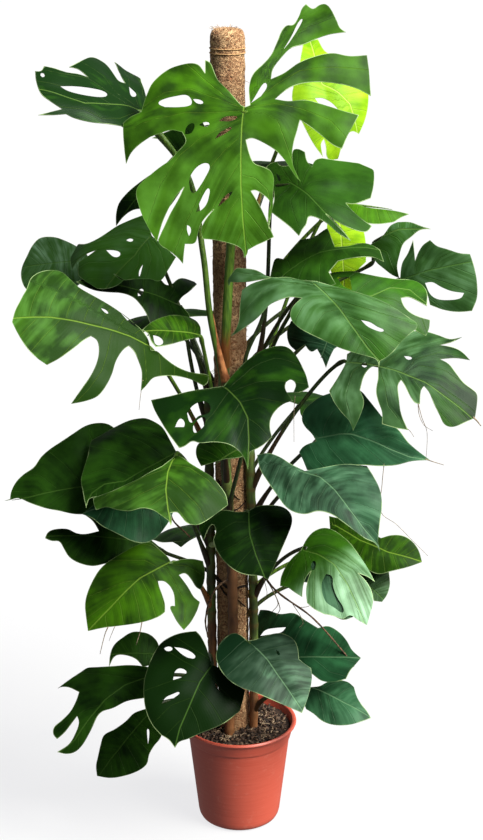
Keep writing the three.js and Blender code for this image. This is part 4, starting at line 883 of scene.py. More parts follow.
        "slot": "leaf_green", "tone": 0.85, "paintedSheen": 0.07, "quilt": -0.06, "stem": "stem_left", "node": 860,
        "via": [(-75, 5, 930), (-112, 22, 1030)], "at": (-154, -30, 1156), "tip": (-218, -75, 1083),
        "face": (-0.2, -0.7, 0.7), "half": 90, "midrib": "151,236 135,255 118,272",
        "ribs": ["146,240 125,235 100,240 72,252", "140,248 115,247 90,252 74,262",
            "132,257 110,262 88,262 78,268", "147,242 152,258 145,278", "140,250 138,265 128,279",
            "150,238 160,250 165,268", "150,232 125,230 100,238 76,246"],
        "edge": "152,236! 148,224 143,215! 130,220 117,226 108,232 97,239 85,244 75,244 70,248! 70,259 "
        "72,269! 78,260 86,254 96,250! 88,256 79,262! 78,271 80,280 90,287 104,289 116,286 124,280! "
        "114,274! 122,280 135,279 150,279! 160,281 168,270 176,257! 166,248 158,241",
        "holes": ["106,250! 113,250 120,252 120,256 114,257", "126,240! 130,238 134,240 130,242",
            "143,264! 141,272 139,279! 139,271"],
    },
    "left_upper_dark": {
        "tone": -0.3, "stem": "stem_left", "node": 800, "at": (-102, -5, 1024), "tip": (-281, -40, 1076),
        "face": (-0.1, -0.6, 0.8), "half": 75,
        "edge": "184,308! 190,318 178,320 165,321 150,323! 146,313 140,304 133,297 122,293 108,292 94,290 "
        "76,282! 90,276 108,272 124,277 145,276 160,279 166,285 172,284 178,279 188,278 197,284! 190,291 "
        "182,297 178,303!",
        "holes": ["138,296! 138,291 142,288 144,291 141,296"],
    },
    "small_bright": {
        "slot": "leaf_bright", "tone": -0.3, "stem": "stem_front", "node": 750, "at": (-65, -95, 995),
        "tip": (-160, -140, 1015), "face": (0, -0.6, 0.8), "droop": 30, "curl": 20, "half": 40,
        "edge": "201,334! 200,326 194,319 184,316 172,315 160,318 150,323 142,330! 148,333 151,341 156,347! "
        "168,345 182,341 200,337!",
        "holes": ["153,335! 158,336 163,340 163,344 156,345"],
    },
    "behind_top_left": {
        "tone": -0.1, "node": 940, "at": (-60, 60, 1330), "tip": (-215, 40, 1160), "face": (-0.3, -0.8, 0.4),
        "droop": 35, "half": 70,
        "edge": "206,128! 198,118 184,126 168,131 152,138! 163,140 172,146 177,153! 165,166 150,175 140,182 "
        "128,192 119,203 116,214 116,226! 124,216 133,210 142,209 160,214 178,195 190,172 206,160 212,142",
    },
    "right_back_high": {
        "slot": "leaf_bright", "tone": 0.2, "node": 900, "at": (180, 50, 1195), "tip": (300, 40, 1180),
        "face": (0.1, -0.7, 0.7), "droop": 30, "curl": 20, "half": 40,
        "edge": "341,205! 352,203 366,207 382,209 396,211 409,214! 402,217 394,222! 380,224 366,223 350,218",
    },
    "right_dark_back": {
        "slot": "leaf_blue", "paintedSheen": (0.03, 0.12), "node": 720, "at": (165, 10, 975), "tip": (140, 0, 910),
        "face": (0.1, -0.9, 0.3), "droop": 30, "curl": 20, "half": 35, "reach": 2.2,
        "edge": "340,334 331,331! 316,325 302,321 291,321! 287,331 289,344 296,351! 305,345! 311,352 "
        "317,349! 322,358 326,368! 330,357 334,349! 341,343",
    },
    "under_centre": {
        "slot": "leaf_green", "stem": "stem_front", "node": 640, "at": (0, -100, 790),
        "tip": (-60, -125, 755), "face": (0, -0.7, 0.7), "droop": 30, "curl": 20, "half": 45,
        "edge": "240,440! 228,436 210,438 198,444 196,455 201,466! 212,463 225,459 236,458 244,455",
    },
}

# The four leaves behind the pole, which the photograph hides: margins as shares of length and of half width
cutMargin = ("-0.1,0.1 -0.25,0.6 -0.1,0.9! 0.02,0.4! -0.02,0.95! 0.3,1! 0.3,0.35! 0.4,0.97! 0.65,0.75! "
             "0.5,0.3! 0.72,0.62 0.9,0.3 1,0!")
heartMargin = "-0.08,0.1 -0.2,0.45 -0.08,0.85 0.2,1 0.5,0.82 0.8,0.35 1,0!"
backLeaves = {
    "back_high": {
        "slot": "leaf_green", "margin": cutMargin, "node": 990,
        "at": (60, 150, 1250), "tip": (90, 340, 1150),
    },
    "back_left": {
        "slot": "leaf_dark", "margin": cutMargin, "node": 700,
        "at": (-110, 170, 960), "tip": (-240, 320, 860),
    },
    "back_right": {
        "slot": "leaf_dark", "margin": cutMargin, "node": 580,
        "at": (120, 140, 800), "tip": (270, 280, 700),
    },
    "back_low": {
        "slot": "leaf_green", "margin": heartMargin, "node": 320,
        "at": (-60, 140, 540), "tip": (-120, 310, 430),
    },
}
backLength = 220
backUsual = {"stem": "stem_back", "droop": 50, "fold": 6, "curl": 30, "half": 110}
blade = {
    "thickness": 0.8,
    "layer": 3,  # mm between a lobe and another that hangs behind it
    "spacing": 5.5,  # mm between the points inside a blade
    "rows": 0.87,  # rows of those points, as a share of that
    "clear": 0.35,  # how far they stay from the inset points, as a share of it
    "stroke": 2.2,  # pixels between the points of its edge
    "backStroke": 4,  # the same in mm for the leaves at the back
    "inset": 1.6,  # mm from the edge to the first points inside it
    "smallInset": 0.8,  # the least that one of them may be from any edge, as a share
    "backBend": 0.5,  # how much less it arches behind the petiole
    "drop": 0.06,  # how far its edge hangs, as a share of half
    "uneven": 1.2,  # mm of slow unevenness all over a blade
    "quiltSpace": 50,  # mm between veins past which it stands no higher
    "midFade": 22,  # mm from the midrib to where it stands that high
    "cell": 6,  # mm between the points of that relief
    "smoothing": 5,
    "loose": 30,  # mm between the veins that are not drawn, past the first and the last
}


# The points of a drawn outline and whether each is a sharp corner
def readPath(text):
    marks = text.split()
    points = [[float(v) for v in mark.rstrip("!").split(",")] for mark in marks]
    return np.array(points), [mark.endswith("!") for mark in marks]


# A closed outline drawn smoothly through its points, with a point every so often, and which are corners
def drawnPath(points, corners, stroke):
    count = len(points)
    line, isCorner = [], []
    for i in range(count):
        a, b = points[i], points[(i + 1) % count]
        size = np.linalg.norm(b - a)
        start = b - a if corners[i] else b - points[i - 1]
        end = b - a if corners[(i + 1) % count] else points[(i + 2) % count] - a
        start = start / max(np.linalg.norm(start), 1e-6) * size
        end = end / max(np.linalg.norm(end), 1e-6) * size
        steps = max(1, round(size / stroke))
        line.extend(hermite(a, b, start, end, k / steps) for k in range(steps))
        isCorner.extend(corners[i] and k == 0 for k in range(steps))
    return np.array(line), np.array(isCorner)


# An outline with its small unevenness taken out, and its corners kept
def evened(line, isCorner):
    even = (np.roll(line, 1, axis=0) + 2 * line + np.roll(line, -1, axis=0)) / 4
    return np.where(isCorner[:, None], line, even)


# Sets a leaf's own axes: along the chord from petiole to tip, across, and out of its upper face
def setAxes(leaf):
    leaf["origin"] = np.array(leaf["at"], float)
    along = np.array(leaf["tip"], float) - leaf["origin"]
    chord = np.linalg.norm(along)
    along /= chord
    out = np.array(leaf["face"], float)
    out -= along * (out @ along)
    out /= np.linalg.norm(out)
    bend = math.radians(leaf["droop"])
    leaf.update(along=along, out=out, across=np.cross(out, along))
    leaf["length"] = chord * (bend / 2) / math.sin(bend / 2)


# Where points of the flat blade go once it is arched along and across. Flat is mm towards the tip and mm
# across.
def bentPoints(leaf, flat, lift=0):
    x, y = flat[:, 0], flat[:, 1]
    side, reach = np.where(y < 0, -1, 1), np.abs(y)
    bend = math.radians(leaf["droop"])
    rate = np.where(x < 0, blade["backBend"], 1) * bend / leaf["length"]
    angle = bend / 2 - rate * x
    forward = (math.sin(bend / 2) - np.sin(angle)) / rate
    up = (np.cos(angle) - math.cos(bend / 2)) / rate
    fold, curl = math.radians(leaf["fold"]), math.radians(leaf["curl"]) / leaf["half"]
    tilt = fold - curl * reach
    outness = (reach / leaf["half"]) ** 2
    ripple = leaf["wave"] * np.sin(x / 23 + reach / 31 + side + leaf["seed"]) * outness
    hang = blade["drop"] * leaf["half"] * outness * (0.5 + 0.5 * np.sin(x / 38 + side * 2 + leaf["seed"]))
    rise = (np.cos(tilt) - math.cos(fold)) / curl + ripple - hang + lift + reliefOf(leaf, flat)
    wide = side * (math.sin(fold) - np.sin(tilt)) / curl
    return (leaf["origin"] + np.outer(forward - np.sin(angle) * rise, leaf["along"])
            + np.outer(up + np.cos(angle) * rise, leaf["out"]) + np.outer(wide, leaf["across"]))


# How points are looked for on a blade: from the nearest of an even grid of guesses, in a few steps
search = {
    "behind": 1.25,  # how far behind the petiole it looks, as a share of half
    "past": 0.25,  # how far past the tip
    "guesses": 70,  # along, and as many across
    "nearer": 0.02,  # how much a guess gains by being nearer the camera
    "steps": 12,
    "probe": 0.5,  # mm
    "flattest": 0.002,  # the least that a blade seen edge on is taken to show
    "longest": 6,  # mm in one step
}


# Which points of the flat blade are seen at the given pixels
def flatOf(leaf, pixels):
    reach, probe, flattest = leaf["reach"] * leaf["half"], search["probe"], search["flattest"]
    low = (-search["behind"] * leaf["half"], -reach)
    high = (leaf["length"] + search["past"] * leaf["half"], reach)
    xs, ys = (np.linspace(low[k], high[k], search["guesses"]) for k in (0, 1))
    grid = np.array(np.meshgrid(xs, ys)).reshape(2, -1).T
    spots = bentPoints(leaf, grid)
    far = (spots - eye) @ viewAhead
    miss = ((pixels[:, None] - pixelsOf(spots)[None]) ** 2).sum(2) + search["nearer"] * far[None]
    flat = grid[miss.argmin(1)]
    for _ in range(search["steps"]):
        seen = pixelsOf(bentPoints(leaf, flat))
        error = pixels - seen
        right = pixelsOf(bentPoints(leaf, flat + (probe, 0))) - seen
        down = pixelsOf(bentPoints(leaf, flat + (0, probe))) - seen
        scale = right[:, 0] * down[:, 1] - right[:, 1] * down[:, 0]
        scale = np.where(np.abs(scale) < flattest, np.where(scale < 0, -flattest, flattest), scale) / probe
        move = np.stack([error[:, 0] * down[:, 1] - error[:, 1] * down[:, 0],
                         right[:, 0] * error[:, 1] - right[:, 1] * error[:, 0]], axis=1) / scale[:, None]
        flat = flat + np.clip(move, -search["longest"], search["longest"])
    return np.clip(flat, low, high)


# Which points lie inside an outline and outside its holes
def insideRings(points, rings):
    inside = np.zeros(len(points), bool)
    for ring in rings:
        following = np.roll(ring, -1, axis=0)
        for a, b in zip(ring, following):
            crosses = (a[1] > points[:, 1]) != (b[1] > points[:, 1])
            if crosses.any():
                cut = a[0] + (points[:, 1] - a[1]) * (b[0] - a[0]) / ((b[1] - a[1]) or 1e-9)
                inside ^= crosses & (points[:, 0] < cut)
    return inside


# Distance of each point from the nearest ring
def toRings(points, rings):
    nearest = np.full(len(points), 1e9)
    for ring in rings:
        for a, b in zip(ring, np.roll(ring, -1, axis=0)):
            step = b - a
            share = np.clip(((points - a) @ step) / max(step @ step, 1e-9), 0, 1)
            gap = np.hypot(*(points - a - np.outer(share, step)).T)
            nearest = np.minimum(nearest, gap)
    return nearest


# How far in mm points are to the left of a line on the flat blade, less than 0 to its right. The
# line's last stretch may be carried on past its end.
def sideOf(points, line, isCarriedOn=False):
    nearest, result = np.full(len(points), 1e9), np.zeros(len(points))
    for k in range(len(line) - 1):
        step = line[k + 1] - line[k]
        away = points - line[k]
        highest = 1e9 if isCarriedOn and k == len(line) - 2 else 1
        share = np.clip(away @ step / max(step @ step, 1e-9), 0, highest)
        gap = np.hypot(*(away - np.outer(share, step)).T)
        left = step[0] * away[:, 1] - step[1] * away[:, 0]
        isNearer = gap < nearest
        nearest = np.where(isNearer, gap, nearest)
        result = np.where(isNearer, np.where(left < 0, -gap, gap), result)
    return result


# How side veins fan out where none are drawn: where along the midrib the first and the next ones start,
# as shares of its length, and the degrees between them and it
fan = {"first": 0.02, "spread": 0.86, "widest": 128, "closing": 92, "bow": 0.12, "knots": (0, 0.4, 0.8, 1.2)}


# Sets the lines of a leaf's midrib and side veins on the flat blade. Where none are drawn, the side
# veins fan out from the midrib, backward near the petiole and forward near the tip.
def setVeins(leaf):
    midrib = np.array([(-1.0, 0.0), (leaf["length"], 0.0)])
    if leaf["midrib"]:
        midrib = flatOf(leaf, readPath(leaf["midrib"])[0])
    sides = {1: [], -1: []}
    for drawn in leaf["ribs"]:
        line = flatOf(leaf, readPath(drawn)[0])
        sides[1 if sideOf(line[-1:], midrib)[0] > 0 else -1].append(line)
    for side, lines in sides.items():
        if lines:
            lines.sort(key=lambda line: line[0][0] + 0.4 * line[-1][0])
            continue
        for k in range(leaf["veins"]):
            start = leaf["length"] * (fan["first"] + fan["spread"] * k / leaf["veins"])
            turn = math.radians(fan["widest"] - fan["closing"] * k / leaf["veins"])
            reach = leaf["half"] * np.array(fan["knots"])
            x = start + reach / math.tan(turn) + fan["bow"] * reach ** 2 / leaf["half"]
            lines.append(np.stack([x, side * reach], axis=1))
    leaf["veinLines"] = (midrib, sides)
    setRelief(leaf)


# The distance from the midrib, how many side veins a point is past, counting from the petiole and with
# the share of the way to the next, and the distance in mm from one side vein to the next
def veinPhase(leaf, flat):
    midrib, sides = leaf["veinLines"]
    mid = sideOf(flat, midrib, isCarriedOn=True)
    loose = blade["loose"]
    phase, spread = np.zeros(len(flat)), np.full(len(flat), float(loose))
    for side, lines in sides.items():
        on = mid > 0 if side > 0 else mid <= 0
        if not on.any():
            continue
        past = np.array([-side * sideOf(flat[on], line, isCarriedOn=True) for line in lines])
        last = (past > 0).sum(0) - 1
        before = np.abs(np.take_along_axis(past, np.clip(last, 0, None)[None], 0)[0])
        after = np.abs(np.take_along_axis(past, np.clip(last + 1, None, len(lines) - 1)[None], 0)[0])
        gap = np.maximum(before + after, 1)
        isFirst, isLast = last < 0, last > len(lines) - 2
        share = np.where(isFirst, 1 - after / loose, np.where(isLast, before / loose, before / gap))
        phase[on] = last + share
        spread[on] = np.where(isFirst | isLast, loose, gap)
    return mid, phase, spread


# Sets how far the tissue stands up between the veins, in mm, on an even grid over the flat blade, smoothed.
# It is less than 0 where a cut leaf's lobes arch down to their edges.
def setRelief(leaf):
    low = np.array([-1.3, -1.9]) * leaf["half"]
    high = np.array([leaf["length"] + 0.3 * leaf["half"], 1.9 * leaf["half"]])
    count = np.ceil((high - low) / blade["cell"]).astype(int) + 1
    rows, columns = np.meshgrid(np.arange(count[0]), np.arange(count[1]), indexing="ij")
    flat = low + np.stack([rows, columns], axis=2).reshape(-1, 2) * blade["cell"]
    mid, phase, spread = veinPhase(leaf, flat)
    height = leaf["quilt"] * np.minimum(spread, blade["quiltSpace"])
    height = height * np.sin(math.pi * phase) ** 2 * np.clip(np.abs(mid) / blade["midFade"], 0, 1)
    height = height.reshape(count)
    for _ in range(blade["smoothing"]):
        for axis in (0, 1):
            edged = np.pad(height, [(1, 1) if k == axis else (0, 0) for k in (0, 1)], mode="edge")
            before, after = (np.take(edged, np.arange(count[axis]) + k, axis) for k in (0, 2))
            height = (before + 2 * height + after) / 4
    leaf["relief"] = (low, height)


# How far points of the flat blade stand up by that relief and by its slow unevenness
def reliefOf(leaf, flat):
    x, y, seed = flat[:, 0], flat[:, 1], leaf["seed"]
    slow = blade["uneven"] * np.sin(x / 17 + y / 23 + seed) * np.sin(x / 29 - y / 13 + 2 * seed)
    if not leaf["relief"]:
        return slow
    low, height = leaf["relief"]
    cell = np.clip((flat - low) / blade["cell"], 0, np.array(height.shape) - 1.001)
    row, column = cell.astype(int).T
    down, across = (cell % 1).T
    near = height[row, column] * (1 - across) + height[row, column + 1] * across
    far = height[row + 1, column] * (1 - across) + height[row + 1, column + 1] * across
    return slow + near * (1 - down) + far * down


# Points a little to either side of a ring
def besideRing(ring):
    ahead = np.roll(ring, -1, axis=0) - np.roll(ring, 1, axis=0)
    normal = np.stack([-ahead[:, 1], ahead[:, 0]], axis=1)
    normal *= blade["inset"] / np.maximum(np.linalg.norm(normal, axis=1), 1e-6)[:, None]
    return np.concatenate([ring + normal, ring - normal])


# A blade from its outline and holes: filled with points, arched, and given its thickness
def bladePiece(name, leaf, rings):
    spacing, inset = blade["spacing"], blade["inset"]
    outline = np.concatenate(rings)
    low, high = outline.min(0), outline.max(0)
    rows = range(math.floor(low[1] / spacing), math.ceil(high[1] / spacing) + 1)
    columns = range(math.floor(low[0] / spacing) - 1, math.ceil(high[0] / spacing) + 1)
    grid = [((c + 0.5 * (r % 2)) * spacing, r * spacing * blade["rows"]) for r in rows for c in columns]
    grid = np.array(grid)
    grid = grid[insideRings(grid, rings)]
    grid = grid[toRings(grid, rings) > inset + blade["clear"] * spacing]
    beside = np.concatenate([besideRing(ring) for ring in rings])
    beside = beside[insideRings(beside, rings)]
    grid = np.concatenate([beside[toRings(beside, rings) > blade["smallInset"] * inset], grid])
    edges, first = [], 0
    for ring in rings:
        edges += [(first + k, first + (k + 1) % len(ring)) for k in range(len(ring))]
        first += len(ring)
    spots = [Vector(p) for p in np.concatenate([outline, grid])]
    made = geometry.delaunay_2d_cdt(spots, edges, [], 0, 0.02)
    flat = np.array([tuple(v) for v in made[0]])
    faces = np.array(made[2])
    faces = faces[insideRings(flat[faces].mean(1), rings)]
    used = np.unique(faces)
    renumber = np.zeros(len(flat), int)
    renumber[used] = np.arange(len(used))
    flat, faces = flat[used], renumber[faces]
    mid, phase, spread = veinPhase(leaf, flat)
    points = bentPoints(leaf, flat)
    a, b, c = (flat[faces[:, k]] for k in range(3))
    turned = (b - a)[:, 0] * (c - a)[:, 1] - (b - a)[:, 1] * (c - a)[:, 0] < 0
    faces[turned] = faces[turned][:, ::-1]
    values = {"phase": phase, "spread": spread, "mid": mid, "rim": toRings(flat, rings[:1])}
    share = np.clip(flat[:, 0] / leaf["length"], 0, 1)
    # Tone, which is partly painted shade and light, and the painted sheen each run from the base to the tip
    for label in ("tone", "paintedSheen"):
        base, tip = np.broadcast_to(leaf[label], 2)
        values[label] = np.maximum(base + (tip - base) * share, 0 if label == "paintedSheen" else -1)
    piece = newPiece(name, points, faces.tolist(), values)
    for material in leafMaterials[leaf["slot"]]:
        piece.data.materials.append(material)
    applied(piece, "SOLIDIFY", thickness=blade["thickness"] * mm, offset=-1, material_offset=1,
            material_offset_rim=0, use_quality_normals=True)
    return piece


petiole = {
    "radius": 3.7,
    "taper": (1.05, 0.15),  # its radius at the foot, and how much less it is at the blade, as shares
    "sheath": 7,  # radius of the foot in its sheath
    "sheathEnd": 4,  # the sheath covers 1 / 4 of the petiole
    "handle": 0.16,  # how far its ends run straight, as a share of its reach
    "rise": 0.4,  # how far it starts upward, as a share of its reach
    "under": 0.1,  # how far it arrives from behind, as a share of its reach
    "sink": 2.5,  # mm below the blade's upper face where it ends
    "knee": 1.35,  # how much thicker the joint below the blade is
    "kneePlace": 0.93,
    "kneeLength": 0.045,
    "steps": 30,
    "ribStart": 2.6,  # radius of the midrib where it starts
    "ribEnd": 0.2,  # its radius at the tip, as a share of that
    "sides": 10,
}


# The petiole runs up from the stem, out in one sweep to the blade, and on below it as the midrib
def petiolePiece(name, leaf):
    foot = stemCentre(leaf["stem"], leaf["node"])
    end = leaf["origin"] - leaf["out"] * petiole["sink"]
    reach = np.linalg.norm(end - foot)
    if leaf["via"]:
        line = smoothLine([foot, *leaf["via"], end], 10)
    else:
        outward = foot - poleCentre(foot[2])
        outward /= np.linalg.norm(outward)
        level = (end - foot) * (1, 1, 0)
        outward = outward + level / np.linalg.norm(level)
        outward /= np.linalg.norm(outward)
        start = foot + outward * reach * petiole["handle"] + np.array([0, 0, reach * petiole["rise"]])
        arrive = end - leaf["out"] * reach * petiole["handle"] - leaf["along"] * reach * petiole["under"]
        t = np.linspace(0, 1, petiole["steps"])[:, None]
        line = (1 - t) ** 3 * foot + 3 * (1 - t) ** 2 * t * start
        line += 3 * (1 - t) * t * t * arrive + t ** 3 * end
    t = np.linspace(0, 1, len(line))
    thick, less = petiole["taper"]
    radii = petiole["radius"] * leaf["stout"] * (thick - less * t)
    radii += (petiole["sheath"] - petiole["radius"]) * np.maximum(0, 1 - petiole["sheathEnd"] * t)
    knee = np.exp(-((t - petiole["kneePlace"]) / petiole["kneeLength"]) ** 2)
    radii *= 1 + (petiole["knee"] - 1) * knee
    midrib = smoothLine(leaf["veinLines"][0], 8)[1:-2]
    ribRadii = petiole["ribStart"] * np.linspace(1, petiole["ribEnd"], len(midrib))
    rib = bentPoints(leaf, midrib, -ribRadii - blade["thickness"] / 2)
    radii = np.concatenate([radii, ribRadii])
    points, faces = tubeParts(np.concatenate([line, rib]), radii, petiole["sides"])
    count = len(points) // petiole["sides"]
    along = np.repeat(np.arange(count) / (count - 1), petiole["sides"])
    piece = newPiece(name, points, faces, {"along": along})
    isYoung = leaf["stout"] > 1 or leaf["slot"] in ("leaf_bright", "leaf_new")
    piece.data.materials.append(petioleGreen if isYoung else petioleOlive)
    return piece


# A lobe of a leaf that hangs just behind the rest and shows through its cuts
def lobePiece(name, leaf):
    lobe = {**leaf, **leaf["behind"], "origin": leaf["origin"] - leaf["out"] * blade["layer"]}
    line, isCorner = drawnPath(*readPath(lobe["edge"]), blade["stroke"])
    return bladePiece(name, lobe, [evened(flatOf(lobe, line), isCorner)])


# A leaf's blade, petiole and any lobe behind, as one piece
def makeLeaf(name, leaf, rings):
    pieces = [bladePiece(name, leaf, rings), petiolePiece(name + "_stalk", leaf)]
    if leaf["behind"]:
        pieces.append(lobePiece(name + "_lobe", leaf))
    piece = joined(pieces, "plant_" + name)
    choose(piece)
    bpy.ops.object.shade_smooth_by_angle(angle=math.radians(50))
    fitted(piece, "leaf_" + name, leaf["slot"])


grown = {}
for number, (name, row) in enumerate(leaves.items()):
    leaf = {**usual, "seed": number + 1, **row}
    grown[name] = leaf
    setAxes(leaf)
    setVeins(leaf)
    paths = [readPath(text) for text in (leaf["edge"], *leaf["holes"])]
    lines = [drawnPath(points, corners, blade["stroke"]) for points, corners in paths]
    rings = [evened(flatOf(leaf, line), isCorner) for line, isCorner in lines]
    makeLeaf(name, leaf, rings)
for number, (name, row) in enumerate(backLeaves.items()):
    leaf = {**usual, "seed": 50 + number, **backUsual, **row}
    leaf["face"] = (leaf["tip"][0] - leaf["at"][0], leaf["tip"][1] - leaf["at"][1], backLength)
    setAxes(leaf)
    setVeins(leaf)
    points, corners = readPath(leaf["margin"])
    left = points * (leaf["length"], leaf["half"])
    right = left[:-1][::-1] * (1, -1)
    ring = np.concatenate([left, right])
    makeLeaf(name, leaf, [drawnPath(ring, corners + corners[:-1][::-1], blade["backStroke"])[0]])
print("leaves:", len(leaves) + len(backLeaves))

# Stems
stemSkin = stemMaterial()
for name, stem in stems.items():
    heights = np.arange(stem["foot"], stem["top"] + 1, climb["step"])
    line = np.array([stemCentre(name, z) for z in heights])
    ringing = np.cos(2 * math.pi * (heights + stem["bearing"]) / climb["node"]) ** 8
    radii = stem["radius"] * (climb["thin"] + climb["swell"] * ringing)
    radii[-len(climb["tip"]):] *= climb["tip"]
    woody = np.clip(0.5 - (heights - stem["wood"]) / climb["turning"], 0, 1)
    skin = {"scar": np.repeat(ringing ** 2, climb["sides"]), "woody": np.repeat(woody, climb["sides"])}
    piece = newPiece("plant_" + name, *tubeParts(line, radii, climb["sides"]), skin)
    fitted(piece, name, "stem", stemSkin)
print("stems:", len(stems))

# The stake in the sleeve is the part's own node
for slot in bpy.data.objects["pole_stake"].material_slots:
    slot.material = stakeMaterial()

# Coir sleeve: rough fibre, rounded and frayed at the top, bored for the stake
coirHair = {
    "count": 420,
    "atTop": 170,  # how many of them stick out of the top
    "topBand": 10,  # mm below the top where those start
    "lowest": 250,
    "length": (4, 9),
    "radii": (0.45, 0.35, 0.15),
    "tuft": 7,  # mm across the tufts of the sleeve's face
    "lump": 17,  # mm across its slower lumps
}
topDrop = {14: 0, 9: 1, 5: 3, 2: 7, 0: 14}  # mm below the top, and how much narrower the sleeve is there
heights = list(np.arange(pole["foot"], pole["top"] - max(topDrop), pole["rise"]))
radii = [pole["radius"]] * len(heights) + [pole["radius"] - less for less in topDrop.values()]
heights += [pole["top"] - drop for drop in topDrop]
points, faces = tubeParts([poleCentre(z) for z in heights], radii, pole["sides"])
for i, p in enumerate(points):
    outward = p - poleCentre(p[2])
    fine = noise.noise(Vector(p) / coirHair["tuft"]) + 0.6 * noise.noise(Vector(p) / coirHair["lump"])
    points[i] = p + outward / np.linalg.norm(outward) * pole["roughness"] * (fine - 0.5)
coir = newPiece("coir_pole", points, faces)
boreEnds = [poleCentre(pole["foot"] - 1), poleCentre(pole["boreTop"])]
bore = newPiece("bore", *tubeParts(boreEnds, pole["bore"], 32))
applied(coir, "BOOLEAN", operation="DIFFERENCE", object=bore)
bpy.data.objects.remove(bore)
strand = fibreMaterial("pale coir strand", "c9a878", "9a7146")
fuzz = []
for k in range(coirHair["count"]):
    isTop = k < coirHair["atTop"]
    if isTop:
        z = pole["top"] - random.uniform(0, coirHair["topBand"])
    else:
        z = random.uniform(coirHair["lowest"], pole["top"] - 20)
    turn = random.uniform(0, 2 * math.pi)
    spread = pole["radius"] * (random.uniform(0.3, 0.9) if isTop else 0.97)
    root = poleCentre(z) + np.array([math.cos(turn), math.sin(turn), 0]) * spread
    east, north = math.cos(turn + random.uniform(-1.2, 1.2)), math.sin(turn + random.uniform(-1.2, 1.2))
    way = np.array([east, north, 0])
    way[2] = random.uniform(0.3, 1.2) if isTop else random.uniform(-0.7, 0.7)
    long = random.uniform(*coirHair["length"])
    sag = np.array([random.uniform(-1, 1), random.uniform(-1, 1), random.uniform(-1, 0.3)])
    hair = np.array([root, root + way * long * 0.5 + sag, root + way * long * 0.8 + sag * 3])
    fuzz.append(smallPiece("hair", *tubeParts(hair, coirHair["radii"], 3), strand))
coir.data.materials.append(coirMaterial())
coir = joined([coir, *fuzz], "coir_pole")
fitted(coir, "pole_coir", "coir")
print("coir pole")

# Cords round the pole's top
cord = {
    "heights": (1472, 1464),
    "radius": 0.9,
    "lay": 0.15,  # how far its strands stand out
    "twist": 18,  # times that they go round it
    "ring": 30.2,  # radius of its middle round the pole
    "steps": 72,
    "sides": 8,
}
cordFinish = fibreMaterial("jute cord", "d0a672", "a07a4c", 3)
for number, z in enumerate(cord["heights"]):
    turns = np.linspace(0, 2 * math.pi, cord["steps"], endpoint=False)
    sides = cord["sides"]
    points, faces = [], []
    for k, turn in enumerate(turns):
        outward = np.array([math.cos(turn), math.sin(turn), 0])
        for s in range(sides):
            around = 2 * math.pi * s / sides
            thick = cord["radius"] + cord["lay"] * math.sin(2 * around + cord["twist"] * turn)
            level = outward * (cord["ring"] + thick * math.cos(around))
            points.append(poleCentre(z) + level + np.array([0, 0, thick * math.sin(around)]))
            a, b = k * sides + s, k * sides + (s + 1) % sides
            following = ((k + 1) % len(turns) - k) * sides
            faces.append((a, a + following, b + following, b))
    piece = newPiece(f"cord_{number + 1}", points, faces)
    fitted(piece, f"pole_cord_{number + 1}", "cord", cordFinish)

# Aerial roots, as in the part
roots = {
    "root_right": {
        "stem": "stem_right", "node": 560,
        "through": [(60, -60, 508), (135, -95, 460), (200, -115, 390)],
    },
    "root_left": {
        "stem": "stem_left", "node": 690,
        "through": [(-95, -20, 680), (-125, -30, 640), (-90, -35, 595)],
    },
    "root_front": {
        "stem": "stem_front", "node": 520,
        "through": [(-45, -62, 500), (-62, -55, 440), (-58, -50, 400)],
    },
}
rootShape = {"radius": 2.4, "taper": 0.4, "knobs": 0.12, "knobTurn": 47, "sides": 8}
rootSkin = fibreMaterial("dry aerial root", "6d5138", "2e2014", 5)
rootLines = {}
for name, root in roots.items():
    line = smoothLine([stemCentre(root["stem"], root["node"]), *root["through"]], 12)
    rootLines[name] = line
    t = np.linspace(0, 1, len(line))
    knobs = 1 + rootShape["knobs"] * np.sin(t * rootShape["knobTurn"])
    radii = rootShape["radius"] * (1 - rootShape["taper"] * t) * knobs
    piece = newPiece("plant_" + name, *tubeParts(line, radii, rootShape["sides"]))
    fitted(piece, name, "root", rootSkin)

# Dry threads: torn leaf edges and air roots that hang from a leaf, each drawn from where it leaves the
# leaf, and side roots that leave the right root at a share of its length. Each narrows to half.
threads = [
    {"share": 0.24, "path": "278,603 272,612", "radius": 1.1},
    {"share": 0.3, "path": "280,608 276,616", "radius": 1.1},
    {"share": 0.12, "path": "267,592 264,602"},
    {"share": 0.12, "path": "268,578 266,572"},
    {"share": 0.5, "path": "303,622 299,628"},
    {"share": 0.55, "path": "309,606 313,600"},
    {"share": 1, "path": "349,664 346,671", "radius": 1.3},
    {"share": 0.96, "path": "352,661 354,667", "radius": 1.1},
    {"leaf": "right_hanging", "path": "418,403 419,414 424,425 433,431"},
    {"leaf": "right_hanging", "path": "418,403 422,418 427,432 426,460"},
    {"leaf": "right_hanging", "path": "405,427 410,431 414,437"},
    {"leaf": "right_hanging", "path": "473,417 477,421 481,426", "radius": 1.7},
    {"leaf": "heart_right_upper", "path": "425,459 434,462 444,465", "radius": 1},
    {"leaf": "heart_right_upper", "path": "384,464 382,485 381,512 396,524 412,540 428,556"},
    {"leaf": "centre", "path": "295,396 294,410 294,442"},
    {"leaf": "left_big", "path": "143,380 141,392 139,410"},
    {"leaf": "left_low_bright", "path": "108,627 105,634 100,654", "radius": 1.1},
    {"leaf": "left_low_bright", "path": "115,626 112,633 109,641"},
    {"leaf": "left_low_bright", "path": "142,622 140,632 136,645", "radius": 1.1},
]
threadRadius = 0.7
threadSkin = fibreMaterial("dry thread", "a08e74", "5c4c38", 5)


# The point on the sight line of a pixel that lies at the given depth, in mm along Y
def spotAt(pixel, depth):
    right, down = (np.array(pixel) - viewMiddle) / focal
    sight = viewAhead + np.array([1, 0, 0]) * right - viewUp * down
    return eye + sight * (depth - eye[1]) / sight[1]


